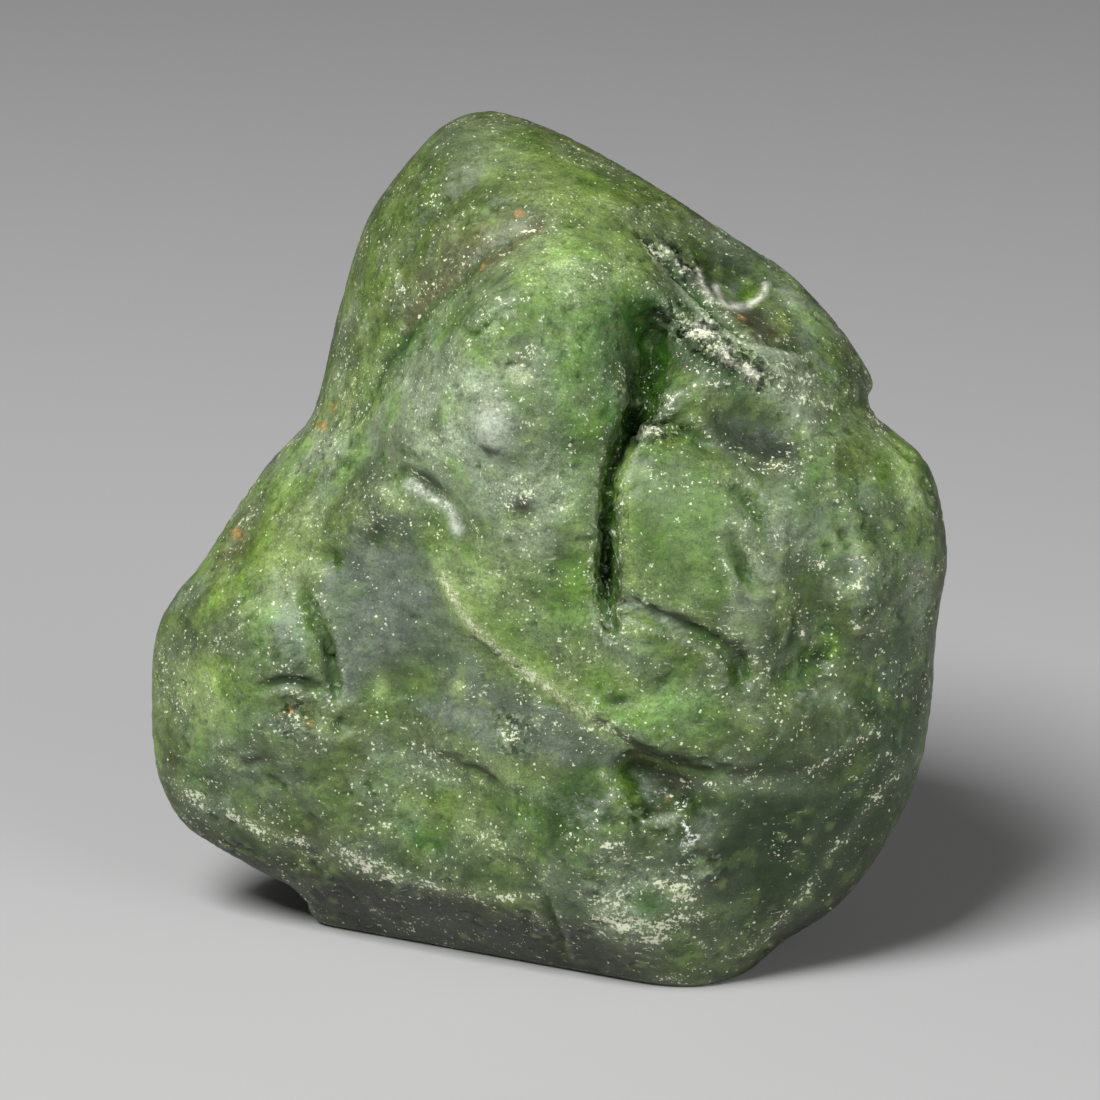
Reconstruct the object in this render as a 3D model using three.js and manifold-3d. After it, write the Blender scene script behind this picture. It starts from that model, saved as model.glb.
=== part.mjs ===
// Raw chrome diopside: one water-worn pebble of green gem rough, standing on a small flat worn face.
// The pebble is one closed solid. It is an outline, filled out to the front and to the back, planed by
// a few flat worn faces, and carved with the clefts, ledges, grooves and pits of the real surface.
//
// Shaping frame, in millimetres, from the middle of the outline: x to the right, z up the display
// face, and "out" standing out of that face. The finished pebble leans back by LEAN on its resting face.

import * as THREE from "three";
import { mergeVertices } from "three/addons/utils/BufferGeometryUtils.js";
import Module from "manifold-3d";

// ---- Driving dimensions, in millimetres and degrees ----
const LEAN = 17; // how far the display face leans back
const FLOOR_DROP = 13.0; // middle of the outline down to the resting face, square to that face
const FRONT_THICK = 7.3; // middle plane to the display face
const BACK_THICK = 8.8; // middle plane to the back
const RIM_ROUND = 2.4; // power of the section: 2 is an ellipse, more is squarer
const TURN_OUT = 0.2; // how much nearer each millimetre to the right stands
const TIP_BACK = 0.05; // how much further back each millimetre up stands
const DETAIL = 11; // cuts along each edge of the icosahedron that the facets start from, less one
const ROUNDS = 4; // times that the facets may be split
const TOLERANCE = 0.06; // how far the true surface may stand off an edge that isn't split
const RIM_ANGLE = 108; // share of the sphere given to the display face, as a polar angle
const RIM_CALM = 10; // power with which the relief dies away towards the rim
const DENT_SPAN = 10; // dents in the outline shorter than this each way are local to the rim
const DENT_DEPTH = 7; // power with which they die away from the rim

// The outline, anticlockwise from the right-hand side, as [x, z].
const OUTLINE = [
  [13.7, 0], [13.4, 2.35], [12.9, 3.55], [12, 4.4], [11.3, 5], [11.05, 5.65], [11.2, 6.2],
  [10.55, 7.4], [9.8, 8.4], [8.35, 9.95], [6.45, 11.2], [4.5, 12.5], [2.4, 13.8], [0.5, 14.85],
  [-1.05, 15.5], [-2.2, 15.75], [-3.3, 15.5], [-4.4, 14.65], [-5.85, 12.9], [-6.65, 11.45],
  [-7.45, 8.85], [-7.95, 6.7], [-8.3, 5.45], [-8.7, 4.75], [-9.8, 3.65], [-11.1, 1.9], [-12.3, 0],
  [-13.35, -1.25], [-14.05, -2.55], [-14.2, -4.25], [-14, -7.3], [-13.15, -9.1], [-11.9, -10.05],
  [-10.4, -10.9], [-8.9, -11.75], [-7.85, -13.65], [-4.55, -15.35], [0, -16.2], [4.35, -15.95],
  [6.45, -14.6], [8, -13.25], [10, -11.9], [11.65, -9.75], [12.75, -7.35], [13.2, -4.8],
  [13.35, -2.35],
];

// Flat worn faces, each through three points [x, z, out], with the width over which its edge is rounded.
// The faces lie under the relief, and the undercut is worn through it.
const UNDERCUT = [
  { name: "underside", at: [[-9.6, -9.6, 1.7], [0.9, -11.6, 6.0], [-8.0, -13.35, -2.6]], round: 0.45 },
  { name: "toe", at: [[2.0, -12.4, 6.4], [9.0, -9.2, 6.0], [5.25, -15.0, 3.6]], round: 1.2 },
];
const FACES = [
  { name: "lower left", at: [[-8.3, -3.15, 4.4], [1.75, -6.3, 7.0], [-5.25, -10.5, 3.4]], round: 2.5 },
  { name: "back upper", at: [[-6.0, 9.0, -5.5], [6.0, 8.0, -6.5], [0.0, -1.0, -8.6]], round: 1.6 },
  { name: "back left", at: [[-11.0, -4.0, -4.0], [-7.0, 6.0, -5.0], [-4.0, -7.0, -8.2]], round: 1.4 },
  { name: "back right", at: [[11.5, -3.0, -3.5], [8.5, 6.0, -4.0], [4.0, -5.0, -8.4]], round: 1.2 },
];

// Broad swells of the display face: middle, half-sizes, turn and height. A negative one is a hollow.
// The edge is the power of its fall: 2 is soft all over, more has a flat top and a steeper side.
const FRONT_SWELLS = [
  { name: "central dome", at: [-0.9, 5.2], size: [4.2, 5.2], turn: 8, height: 1.5, edge: 2 },
  { name: "apex mass", at: [-2.4, 13.2], size: [4.6, 2.6], turn: -25, height: 0.5, edge: 2 },
  { name: "right plateau", at: [7.4, -0.6], size: [5.0, 5.2], turn: 0, height: 1.0, edge: 2 },
  { name: "plateau foot", at: [0.6, -2.2], size: [4.2, 2.4], turn: -38, height: 0.5, edge: 2 },
  { name: "pillow", at: [4.6, 1.25], size: [2.4, 2.9], turn: 6, height: 0.6, edge: 5 },
  { name: "green shelf", at: [5.1, 5.6], size: [1.6, 1.0], turn: -25, height: 0.28, edge: 3 },
  { name: "lower right lobe", at: [3.4, -12.4], size: [4.0, 2.6], turn: 12, height: 0.9, edge: 2 },
  { name: "left shoulder", at: [-10.6, -4.2], size: [2.2, 3.6], turn: 14, height: 0.6, edge: 3 },
  { name: "left bank", at: [-9.3, 1.0], size: [3.2, 1.9], turn: 48, height: 0.35, edge: 2 },
  { name: "dark recess", at: [3.8, 7.1], size: [1.3, 1.5], turn: -10, height: -1.3, edge: 3 },
  { name: "upper right bowl", at: [7.0, 9.4], size: [2.5, 1.25], turn: -38, height: -1.1, edge: 4 },
  { name: "bowl floor", at: [6.3, 9.7], size: [1.0, 0.7], turn: -20, height: -0.5, edge: 2 },
  { name: "round bowl", at: [6.6, 9.2], size: [0.85, 0.65], turn: -25, height: -0.45, edge: 4 },
  { name: "bowl upper end", at: [4.6, 11.5], size: [1.1, 0.6], turn: -30, height: -0.4, edge: 2 },
  { name: "grey dish", at: [6.9, 4.5], size: [1.6, 0.9], turn: -22, height: -0.55, edge: 3 },
  { name: "right dish", at: [11.1, 1.1], size: [0.8, 0.9], turn: 0, height: -0.45, edge: 2 },
  { name: "right knob", at: [12.3, 3.2], size: [1.2, 1.2], turn: 0, height: 0.5, edge: 2 },
  { name: "rim dent", at: [10.7, 5.6], size: [1.0, 0.5], turn: 15, height: -0.6, edge: 2 },
  { name: "lower pit", at: [4.1, -8.7], size: [1.35, 0.95], turn: -28, height: -0.7, edge: 3 },
  { name: "lower pit left", at: [3.2, -8.0], size: [0.6, 0.6], turn: 0, height: -0.5, edge: 2 },
  { name: "lower pit right", at: [5.0, -10.1], size: [0.9, 0.6], turn: 30, height: -0.35, edge: 3 },
  { name: "glossy bump", at: [-1.95, 4.5], size: [0.5, 0.65], turn: 0, height: 0.25, edge: 2 },
  { name: "left pit", at: [-7.9, -6.2], size: [0.45, 0.35], turn: 0, height: -0.35, edge: 2 },
  { name: "left dish", at: [-9.8, -5.6], size: [1.5, 0.7], turn: 0, height: -0.3, edge: 2 },
  { name: "small pit one", at: [-6.0, 0.9], size: [0.55, 0.4], turn: 35, height: -0.3, edge: 2 },
  { name: "small pit two", at: [-7.6, 0.1], size: [0.45, 0.5], turn: 0, height: -0.35, edge: 2 },
];

// Grooves of the display face along a curve, as [x, z, half-width, depth].
const FRONT_GROOVES = [
  { name: "main cleft", edge: 3, path: [[2.85, 8.9, 0.6, 0.2], [3.3, 7.6, 0.75, 0.8], [3.3, 6.1, 0.6, 1.3],
    [2.95, 4.9, 0.45, 1.5], [2.45, 3.9, 0.34, 1.2], [2.0, 2.45, 0.24, 0.9], [1.95, 0.9, 0.28, 1.1],
    [1.95, -0.5, 0.3, 1.2], [2.0, -1.75, 0.26, 0.7], [2.3, -2.9, 0.22, 0.0]] },
  { name: "pillow head", edge: 2, path: [[2.8, 4.6, 0.4, 0.5], [4.0, 4.45, 0.35, 0.5],
    [5.2, 3.9, 0.3, 0.35], [6.3, 3.2, 0.3, 0.0]] },
  { name: "pillow foot", edge: 2, path: [[2.0, -1.2, 0.24, 0.2], [3.5, -1.9, 0.26, 0.45],
    [4.9, -2.4, 0.26, 0.4], [6.0, -3.1, 0.3, 0.35], [6.5, -3.8, 0.35, 0.45], [6.4, -4.8, 0.3, 0.0]] },
  { name: "pillow side", edge: 2, path: [[5.9, 2.7, 0.3, 0.0], [6.6, 1.9, 0.35, 0.5],
    [7.1, 1.0, 0.35, 0.35], [7.2, -1.1, 0.3, 0.0]] },
  { name: "pillow fork", edge: 2, path: [[5.9, 1.1, 0.3, 0.0], [6.4, -0.1, 0.3, 0.5],
    [6.95, -1.2, 0.25, 0.0]] },
  { name: "right valley", edge: 2, path: [[7.9, 0.4, 0.5, 0.0], [8.8, -1.4, 0.6, 0.35],
    [9.2, -2.8, 0.7, 0.55], [8.2, -4.0, 0.6, 0.5], [6.9, -5.1, 0.5, 0.0]] },
  { name: "left crease", edge: 2, path: [[-8.75, -0.6, 0.2, 0.0], [-8.5, -1.7, 0.22, 0.35],
    [-8.1, -3.0, 0.24, 0.5], [-8.0, -4.6, 0.22, 0.45], [-8.0, -5.4, 0.2, 0.0]] },
  { name: "left cross crease", edge: 2, path: [[-11.2, -5.0, 0.2, 0.0], [-10.4, -4.6, 0.24, 0.35],
    [-9.4, -4.5, 0.24, 0.4], [-8.4, -4.8, 0.2, 0.2], [-7.9, -5.0, 0.2, 0.0]] },
  { name: "curved groove", edge: 2, path: [[-5.3, 3.2, 0.2, 0.0], [-4.4, 2.75, 0.25, 0.35],
    [-3.6, 2.0, 0.28, 0.45], [-3.0, 1.0, 0.22, 0.0]] },
  { name: "left trough", edge: 2, path: [[-7.6, 4.9, 0.6, 0.0], [-5.9, 3.7, 0.7, 0.35],
    [-4.2, 1.6, 0.6, 0.3], [-2.6, 0.2, 0.5, 0.0]] },
  { name: "rim trough", edge: 2, path: [[-9.2, 2.9, 0.5, 0.0], [-10.5, 1.1, 0.6, 0.7],
    [-11.7, -0.7, 0.5, 0.0]] },
  { name: "apex furrow", edge: 2, path: [[-0.6, 13.9, 0.5, 0.0], [-2.8, 12.7, 0.5, 0.3],
    [-4.6, 10.8, 0.5, 0.3], [-5.2, 8.8, 0.5, 0.0]] },
];

// Ledges of the display face along a curve, as [x, z, rise]. The ground is raised on one side of the
// run (1 is left, -1 is right), over a rounded shoulder, and the rise dies away with distance.
const FRONT_LEDGES = [
  { name: "left shoulder of the dome", raised: -1, shoulder: 1.0, reach: 3.6, path: [[-9.2, 4.4, 0.0],
    [-7.2, 5.2, 0.7], [-5.8, 6.1, 1.2], [-4.4, 8.0, 1.8], [-2.1, 10.1, 1.9], [0.3, 11.3, 0.9],
    [2.4, 11.7, 0.0]] },
  { name: "right shoulder of the dome", raised: -1, shoulder: 0.8, reach: 2.6, path: [[-1.4, 11.2, 0.0],
    [0.8, 11.5, 0.8], [3.1, 10.8, 1.4], [5.3, 8.8, 1.3], [7.4, 7.3, 0.9], [9.9, 6.4, 0.0]] },
  { name: "edge of the plateau", raised: 1, shoulder: 0.35, reach: 3.2, path: [[-5.2, 0.6, 0.0],
    [-4.4, -1.0, 0.2], [-2.8, -3.0, 0.3], [-1.05, -4.4, 0.35], [0.35, -5.3, 0.4], [1.75, -6.2, 0.45],
    [3.2, -7.1, 0.6], [5.25, -7.6, 0.5], [8.05, -7.5, 0.35], [9.8, -6.8, 0.2], [11.6, -5.9, 0.0]] },
  { name: "crystal ledge", raised: 1, shoulder: 0.3, reach: 1.6, path: [[4.2, 9.1, 0.0], [4.9, 8.3, 0.8],
    [6.0, 7.3, 1.0], [7.3, 6.2, 0.8], [8.8, 5.2, 0.0]] },
  { name: "low step", raised: 1, shoulder: 0.3, reach: 2.2, path: [[-5.2, -7.2, 0.0], [-4.2, -7.6, 0.3],
    [-2.5, -8.5, 0.4], [-1.6, -9.5, 0.3], [-0.4, -10.3, 0.0]] },
  { name: "right step", raised: 1, shoulder: 0.35, reach: 1.8, path: [[8.6, 3.2, 0.0], [9.6, 1.8, 0.2],
    [10.1, 0.0, 0.3], [9.9, -1.8, 0.2], [10.3, -3.4, 0.0]] },
];

// The back, seen through the stone from the front: the same kinds of feature, with the same columns.
const BACK_SWELLS = [
  { name: "high cheek", at: [-3.5, -2.0], size: [4.5, 4.5], turn: 0, height: 0.9, edge: 2 },
  { name: "low cheek", at: [6.5, -5.0], size: [3.5, 4.5], turn: 0, height: 0.7, edge: 2 },
  { name: "broad hollow", at: [3.5, 3.0], size: [2.6, 3.4], turn: 30, height: -0.9, edge: 2 },
  { name: "chip", at: [-7.0, 2.5], size: [1.7, 1.2], turn: 40, height: -0.8, edge: 4 },
  { name: "low chip", at: [-8.2, -6.0], size: [1.4, 0.9], turn: -20, height: -0.6, edge: 3 },
  { name: "pit", at: [0.8, -6.4], size: [0.8, 0.6], turn: 10, height: -0.6, edge: 3 },
  { name: "high pit", at: [-2.2, 9.4], size: [0.9, 0.7], turn: -30, height: -0.5, edge: 3 },
];
const BACK_GROOVES = [
  { name: "long crease", edge: 2, path: [[-9.6, -1.6, 0.4, 0.0], [-6.2, -0.2, 0.45, 0.7],
    [-2.6, 1.8, 0.5, 1.1], [0.4, 2.6, 0.45, 0.9], [2.2, 4.8, 0.4, 0.6], [3.4, 7.4, 0.4, 0.0]] },
  { name: "crease branch", edge: 2, path: [[-2.2, 1.9, 0.35, 0.5], [-1.4, -0.8, 0.4, 0.7],
    [-1.9, -3.8, 0.35, 0.4], [-1.2, -5.6, 0.3, 0.0]] },
  { name: "low crease", edge: 2, path: [[3.2, -3.6, 0.4, 0.0], [5.2, -3.0, 0.45, 0.6],
    [7.6, -3.6, 0.4, 0.7], [9.6, -5.2, 0.35, 0.0]] },
];
const BACK_LEDGES = [
  { name: "worn step", raised: 1, shoulder: 0.4, reach: 3.5, path: [[-5.8, 9.6, 0.0], [-3.0, 7.4, 0.7],
    [0.2, 6.6, 0.9], [3.8, 7.0, 0.8], [6.8, 8.6, 0.0]] },
  { name: "low step", raised: -1, shoulder: 0.35, reach: 3.0, path: [[-9.8, -4.2, 0.0],
    [-6.4, -5.4, 0.6], [-3.2, -7.6, 0.7], [0.6, -8.8, 0.6], [4.4, -8.2, 0.0]] },
];

// The rim wanders to the front and to the back on its way round, and both sides go with it.
const WANDER = { seed: 5, wavelength: 17, height: 0.7 };

// Uneven ground all round, as fields of waves: wavelength, height at the front, height at the back.
const GROUND = [
  { name: "swells", seed: 7, wavelength: 9.0, front: 0.22, back: 0.5 },
  { name: "lumps", seed: 23, wavelength: 3.8, front: 0.13, back: 0.2 },
];
const WAVES = 16; // waves in each field

// ---- Curves ----
const CURVE_STEPS = 6;

// Points along the Catmull-Rom curve through rows of numbers; every column is carried along.
function curveThrough(rows, closed = false) {
  const last = rows.length - 1;
  const row = (i) => rows[closed ? (i + rows.length) % rows.length : Math.min(Math.max(i, 0), last)];
  const spans = closed ? rows.length : last;
  const made = [];
  for (let i = 0; i < spans; i++) {
    const [a, b, c, d] = [row(i - 1), row(i), row(i + 1), row(i + 2)];
    for (let step = 0; step < CURVE_STEPS; step++) {
      const t = step / CURVE_STEPS;
      made.push(b.map((_, k) => 0.5 * (2 * b[k] + (c[k] - a[k]) * t
        + (2 * a[k] - 5 * b[k] + 4 * c[k] - d[k]) * t ** 2 + (3 * b[k] - a[k] - 3 * c[k] + d[k]) * t ** 3)));
    }
  }
  if (!closed) made.push(rows[last]);
  return made;
}

// The nearest place on a curve: how far it is, on which side (1 is left of its run), and its numbers.
function nearestOn(curve, { x, z }) {
  let best = { distance: Infinity };
  for (let i = 0; i + 1 < curve.length; i++) {
    const [a, b] = [curve[i], curve[i + 1]];
    const [ux, uz] = [b[0] - a[0], b[1] - a[1]];
    const t = THREE.MathUtils.clamp(((x - a[0]) * ux + (z - a[1]) * uz) / (ux * ux + uz * uz), 0, 1);
    const distance = Math.hypot(x - a[0] - t * ux, z - a[1] - t * uz);
    if (distance < best.distance) {
      const side = Math.sign(ux * (z - a[1]) - uz * (x - a[0])) || 1;
      best = { distance, side, at: a.map((value, k) => value + t * (b[k] - value)) };
    }
  }
  return best;
}

// ---- The outline as a radius for each direction ----
const TURN = 2 * Math.PI;
const rim = curveThrough(OUTLINE, true)
  .map(([x, z]) => ({ turn: Math.atan2(z, x), radius: Math.hypot(x, z) }))
  .sort((a, b) => a.turn - b.turn);

// The same outline with its dents smoothed away: a mean radius that counts the places near by most.
for (const place of rim) {
  const apart = ({ turn }) => Math.abs(Math.PI - Math.abs(Math.PI - Math.abs(turn - place.turn)));
  const weights = rim.map((other) => Math.exp(-((apart(other) / THREE.MathUtils.degToRad(DENT_SPAN)) ** 2)));
  const whole = weights.reduce((sum, weight) => sum + weight, 0);
  place.smooth = rim.reduce((sum, { radius }, i) => sum + (radius * weights[i]) / whole, 0);
}

// Dents in the rim die away towards the middle of either side.
function rimRadius({ x, z }, spread) {
  const turn = Math.atan2(z, x);
  const after = Math.max(rim.findIndex((place) => place.turn > turn), 0);
  const [a, b] = [rim[(after + rim.length - 1) % rim.length], rim[after]];
  const share = ((turn - a.turn + TURN) % TURN) / ((b.turn - a.turn + TURN) % TURN);
  const radius = THREE.MathUtils.lerp(a.radius, b.radius, share);
  const smooth = THREE.MathUtils.lerp(a.smooth, b.smooth, share);
  return THREE.MathUtils.lerp(smooth, radius, spread ** DENT_DEPTH);
}

// ---- What is carved into the display face and the back ----
const withCurve = (feature) => ({ ...feature, curve: curveThrough(feature.path) });
const front = {
  swells: FRONT_SWELLS,
  grooves: FRONT_GROOVES.map(withCurve),
  ledges: FRONT_LEDGES.map(withCurve),
};
const back = {
  swells: BACK_SWELLS,
  grooves: BACK_GROOVES.map(withCurve),
  ledges: BACK_LEDGES.map(withCurve),
};

function swellAt({ at, size, turn, height, edge }, place) {
  const angle = THREE.MathUtils.degToRad(turn);
  const [dx, dz] = [place.x - at[0], place.z - at[1]];
  const along = (dx * Math.cos(angle) + dz * Math.sin(angle)) / size[0];
  const across = (dz * Math.cos(angle) - dx * Math.sin(angle)) / size[1];
  return height * Math.exp(-(Math.hypot(along, across) ** edge));
}

function grooveAt({ curve, edge }, place) {
  const { distance, at: [, , halfWidth, depth] } = nearestOn(curve, place);
  return -Math.max(depth, 0) * Math.exp(-((distance / halfWidth) ** edge));
}

function ledgeAt({ curve, raised, shoulder, reach }, place) {
  const { distance, side, at: [, , rise] } = nearestOn(curve, place);
  if (side !== raised) return 0;
  const shoulderRise = 1 - Math.exp(-((distance / shoulder) ** 1.5));
  return Math.max(rise, 0) * shoulderRise * Math.exp(-((distance / reach) ** 2));
}

function carving({ swells, grooves, ledges }, place) {
  let out = 0;
  for (const swell of swells) out += swellAt(swell, place);
  for (const groove of grooves) out += grooveAt(groove, place);
  for (const ledge of ledges) out += ledgeAt(ledge, place);
  return out;
}

// ---- Flat faces and uneven ground ----
function planeThrough({ at, round }) {
  const [a, b, c] = at.map(([x, z, out]) => new THREE.Vector3(x, -out, z));
  const normal = b.clone().sub(a).cross(c.clone().sub(a)).normalize();
  if (normal.dot(a) < 0) normal.negate();
  return { normal, distance: normal.dot(a), round };
}

const faces = FACES.map(planeThrough);
const undercut = UNDERCUT.map(planeThrough);

// Draws a point in towards the middle wherever it stands past a flat face, with a rounded edge.
function wearTo(planes, point) {
  for (const { normal, distance, round } of planes) {
    const reach = normal.dot(point);
    const past = reach - distance;
    if (past <= -round) continue;
    const taken = past >= round ? past : (past + round) ** 2 / (4 * round);
    point.multiplyScalar(1 - taken / reach);
  }
}

// A fixed sequence of numbers from 0 to 1.
function sequence(seed) {
  const [factor, modulus] = [16807, 2147483647];
  let state = seed;
  return () => {
    state = (state * factor) % modulus;
    return state / modulus;
  };
}

// A field of waves that run in all directions, as a function of place. It is about 1 high.
function waveField({ seed, wavelength }) {
  const draw = sequence(seed);
  const waves = Array.from({ length: WAVES }, () => {
    const up = 2 * draw() - 1;
    const turn = 2 * Math.PI * draw();
    const level = Math.sqrt(1 - up * up);
    const rate = (2 * Math.PI) / (wavelength * (0.75 + 0.5 * draw()));
    const run = new THREE.Vector3(level * Math.cos(turn), level * Math.sin(turn), up).multiplyScalar(rate);
    return { run, start: 2 * Math.PI * draw() };
  });
  const scale = Math.sqrt(2 / WAVES);
  return (place) => {
    let sum = 0;
    for (const { run, start } of waves) sum += Math.sin(run.dot(place) + start);
    return scale * sum;
  };
}

const wander = waveField(WANDER);
const ground = GROUND.map((field) => ({ ...field, at: waveField(field) }));

// ---- The pebble ----
// The place on the surface for a direction from the middle.
function surface(direction) {
  const rimAngle = THREE.MathUtils.degToRad(RIM_ANGLE);
  const polar = Math.acos(THREE.MathUtils.clamp(-direction.y, -1, 1));
  const atFront = polar <= rimAngle;
  const share = atFront ? polar / rimAngle : (Math.PI - polar) / (Math.PI - rimAngle);
  const spread = Math.sin((share * Math.PI) / 2);
  const point = new THREE.Vector3(direction.x, 0, direction.z).normalize();
  point.multiplyScalar(spread * rimRadius(point, spread));

  const fill = Math.sqrt(1 - spread ** RIM_ROUND);
  const middle = TURN_OUT * point.x - TIP_BACK * point.z + WANDER.height * wander(point);
  let raise = carving(atFront ? front : back, point);
  point.y = -middle - (atFront ? FRONT_THICK : -BACK_THICK) * fill;
  wearTo(faces, point);

  for (const field of ground) raise += (atFront ? field.front : field.back) * field.at(point);
  point.y -= (atFront ? raise : -raise) * (1 - spread ** RIM_CALM);
  wearTo(undercut, point);
  return point;
}

// ---- Facets, small where the ground is busy and large where it is smooth ----
// Whether the true surface stands off the straight edge between two corners.
function standsOff(a, b) {
  return [0.25, 0.5, 0.75].some((share) => {
    const between = a.direction.clone().lerp(b.direction, share).normalize();
    return surface(between).distanceTo(a.point.clone().lerp(b.point, share)) > TOLERANCE;
  });
}

// Splits one facet at the corners that stand in the middle of its edges; undefined is an unsplit edge.
function splitFacet([a, b, c], [ab, bc, ca]) {
  const split = [ab, bc, ca].filter((middle) => middle !== undefined).length;
  if (split === 0) return [[a, b, c]];
  if (split === 3) return [[a, ab, ca], [ab, b, bc], [ca, bc, c], [ab, bc, ca]];
  if (split === 1 ? ab === undefined : ca !== undefined) return splitFacet([b, c, a], [bc, ca, ab]);
  if (split === 1) return [[a, ab, c], [ab, b, c]];
  return [[ab, b, bc], [a, ab, bc], [a, bc, c]];
}

function cornerAt(direction) {
  direction.normalize();
  return { direction, point: surface(direction) };
}

// Adds a corner in the middle of each edge that needs one, and splits the facets there.
function refine(corners, facets) {
  const middles = new Map();
  const middleOf = (i, j) => {
    const edge = `${Math.min(i, j)} ${Math.max(i, j)}`;
    if (!middles.has(edge)) {
      const [a, b] = [corners[i], corners[j]];
      const split = standsOff(a, b);
      if (split) corners.push(cornerAt(a.direction.clone().add(b.direction)));
      middles.set(edge, split ? corners.length - 1 : undefined);
    }
    return middles.get(edge);
  };
  return facets.flatMap(([a, b, c]) => {
    return splitFacet([a, b, c], [middleOf(a, b), middleOf(b, c), middleOf(c, a)]);
  });
}

function wornBody() {
  const ball = new THREE.IcosahedronGeometry(1, DETAIL);
  ball.deleteAttribute("normal");
  ball.deleteAttribute("uv");
  const { index, attributes: { position } } = mergeVertices(ball, 1e-5);
  const corners = Array.from({ length: position.count }, (_, i) =>
    cornerAt(new THREE.Vector3().fromBufferAttribute(position, i)));
  let facets = Array.from({ length: index.count / 3 }, (_, i) => [...index.array.slice(3 * i, 3 * i + 3)]);
  for (let round = 0; round < ROUNDS; round++) facets = refine(corners, facets);

  const body = new THREE.BufferGeometry().setFromPoints(corners.map(({ point }) => point));
  body.setIndex(facets.flat());
  return body.rotateX(THREE.MathUtils.degToRad(-LEAN));
}

const wasm = await Module();
wasm.setup();

function solidOf(geometry) {
  const merged = mergeVertices(geometry, 1e-5);
  return new wasm.Manifold(new wasm.Mesh({
    numProp: 3,
    vertProperties: new Float32Array(merged.attributes.position.array),
    triVerts: new Uint32Array(merged.index.array),
  }));
}

// Everything under the resting face, as one big block.
function underFloor() {
  const side = 60;
  const block = new THREE.BoxGeometry(side, side, side);
  block.deleteAttribute("normal");
  block.deleteAttribute("uv");
  return block.translate(0, 0, -FLOOR_DROP - side / 2);
}

function pebbleGeometry() {
  const { vertProperties, triVerts } = solidOf(wornBody()).subtract(solidOf(underFloor())).getMesh();
  const geometry = new THREE.BufferGeometry();
  geometry.setAttribute("position", new THREE.BufferAttribute(new Float32Array(vertProperties), 3));
  geometry.setIndex(new THREE.BufferAttribute(new Uint32Array(triVerts), 1));
  geometry.computeBoundingBox();
  const { min, max } = geometry.boundingBox;
  geometry.translate(-(min.x + max.x) / 2, -(min.y + max.y) / 2, -min.z);
  geometry.computeVertexNormals();
  return geometry;
}

const stone = new THREE.Mesh(
  pebbleGeometry(),
  new THREE.MeshStandardMaterial({ color: 0x78905a, roughness: 0.45, metalness: 0 }),
);
stone.name = "diopside_pebble";

const part = new THREE.Group();
part.add(stone);
export default part;
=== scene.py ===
"""Raw chrome diopside: the looks of one water-worn stone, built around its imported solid.

The stone is shaped again here at full fineness, from the same outline, faces, swells, grooves and
ledges as its solid, and then gets the fine relief of its skin, its colours and its finish.

Shaping frame, in millimetres, from the middle of the outline: x to the right, z up the display face,
and "out" standing out of that face, which is towards -y. The stone leans back by LEAN degrees.
"""

import math

import bpy
import numpy as np
from mathutils import Matrix, Vector, noise
from mathutils.bvhtree import BVHTree


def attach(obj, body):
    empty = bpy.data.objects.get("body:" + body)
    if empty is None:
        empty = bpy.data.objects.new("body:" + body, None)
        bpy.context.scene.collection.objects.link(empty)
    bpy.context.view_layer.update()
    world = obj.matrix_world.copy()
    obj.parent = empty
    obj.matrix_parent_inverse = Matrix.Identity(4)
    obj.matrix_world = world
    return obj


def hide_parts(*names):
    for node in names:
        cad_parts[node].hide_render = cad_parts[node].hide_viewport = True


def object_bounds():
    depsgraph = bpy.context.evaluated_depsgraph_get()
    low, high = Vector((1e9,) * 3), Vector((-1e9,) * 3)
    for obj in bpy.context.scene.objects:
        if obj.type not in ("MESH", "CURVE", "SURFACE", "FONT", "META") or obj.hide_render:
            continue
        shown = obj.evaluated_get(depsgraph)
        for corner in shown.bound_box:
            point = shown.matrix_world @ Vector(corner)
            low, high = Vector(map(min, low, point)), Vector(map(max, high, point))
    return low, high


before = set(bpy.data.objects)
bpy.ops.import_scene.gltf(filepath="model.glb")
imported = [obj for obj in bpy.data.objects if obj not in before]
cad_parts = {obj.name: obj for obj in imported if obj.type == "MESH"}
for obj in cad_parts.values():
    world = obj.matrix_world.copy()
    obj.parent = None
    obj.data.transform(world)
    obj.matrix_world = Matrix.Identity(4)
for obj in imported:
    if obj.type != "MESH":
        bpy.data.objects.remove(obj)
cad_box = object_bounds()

NODE = "diopside_pebble"
MM = 0.001

# ---- The shape's driving dimensions, in millimetres and degrees, as the solid has them ----
LEAN = 17
FLOOR_DROP = 13
FRONT_THICK = 7.3
BACK_THICK = 8.8
RIM_ROUND = 2.4
TURN_OUT = 0.2
TIP_BACK = 0.05
RIM_ANGLE = 108
RIM_CALM = 10
DENT_SPAN = 10
DENT_DEPTH = 7

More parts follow.
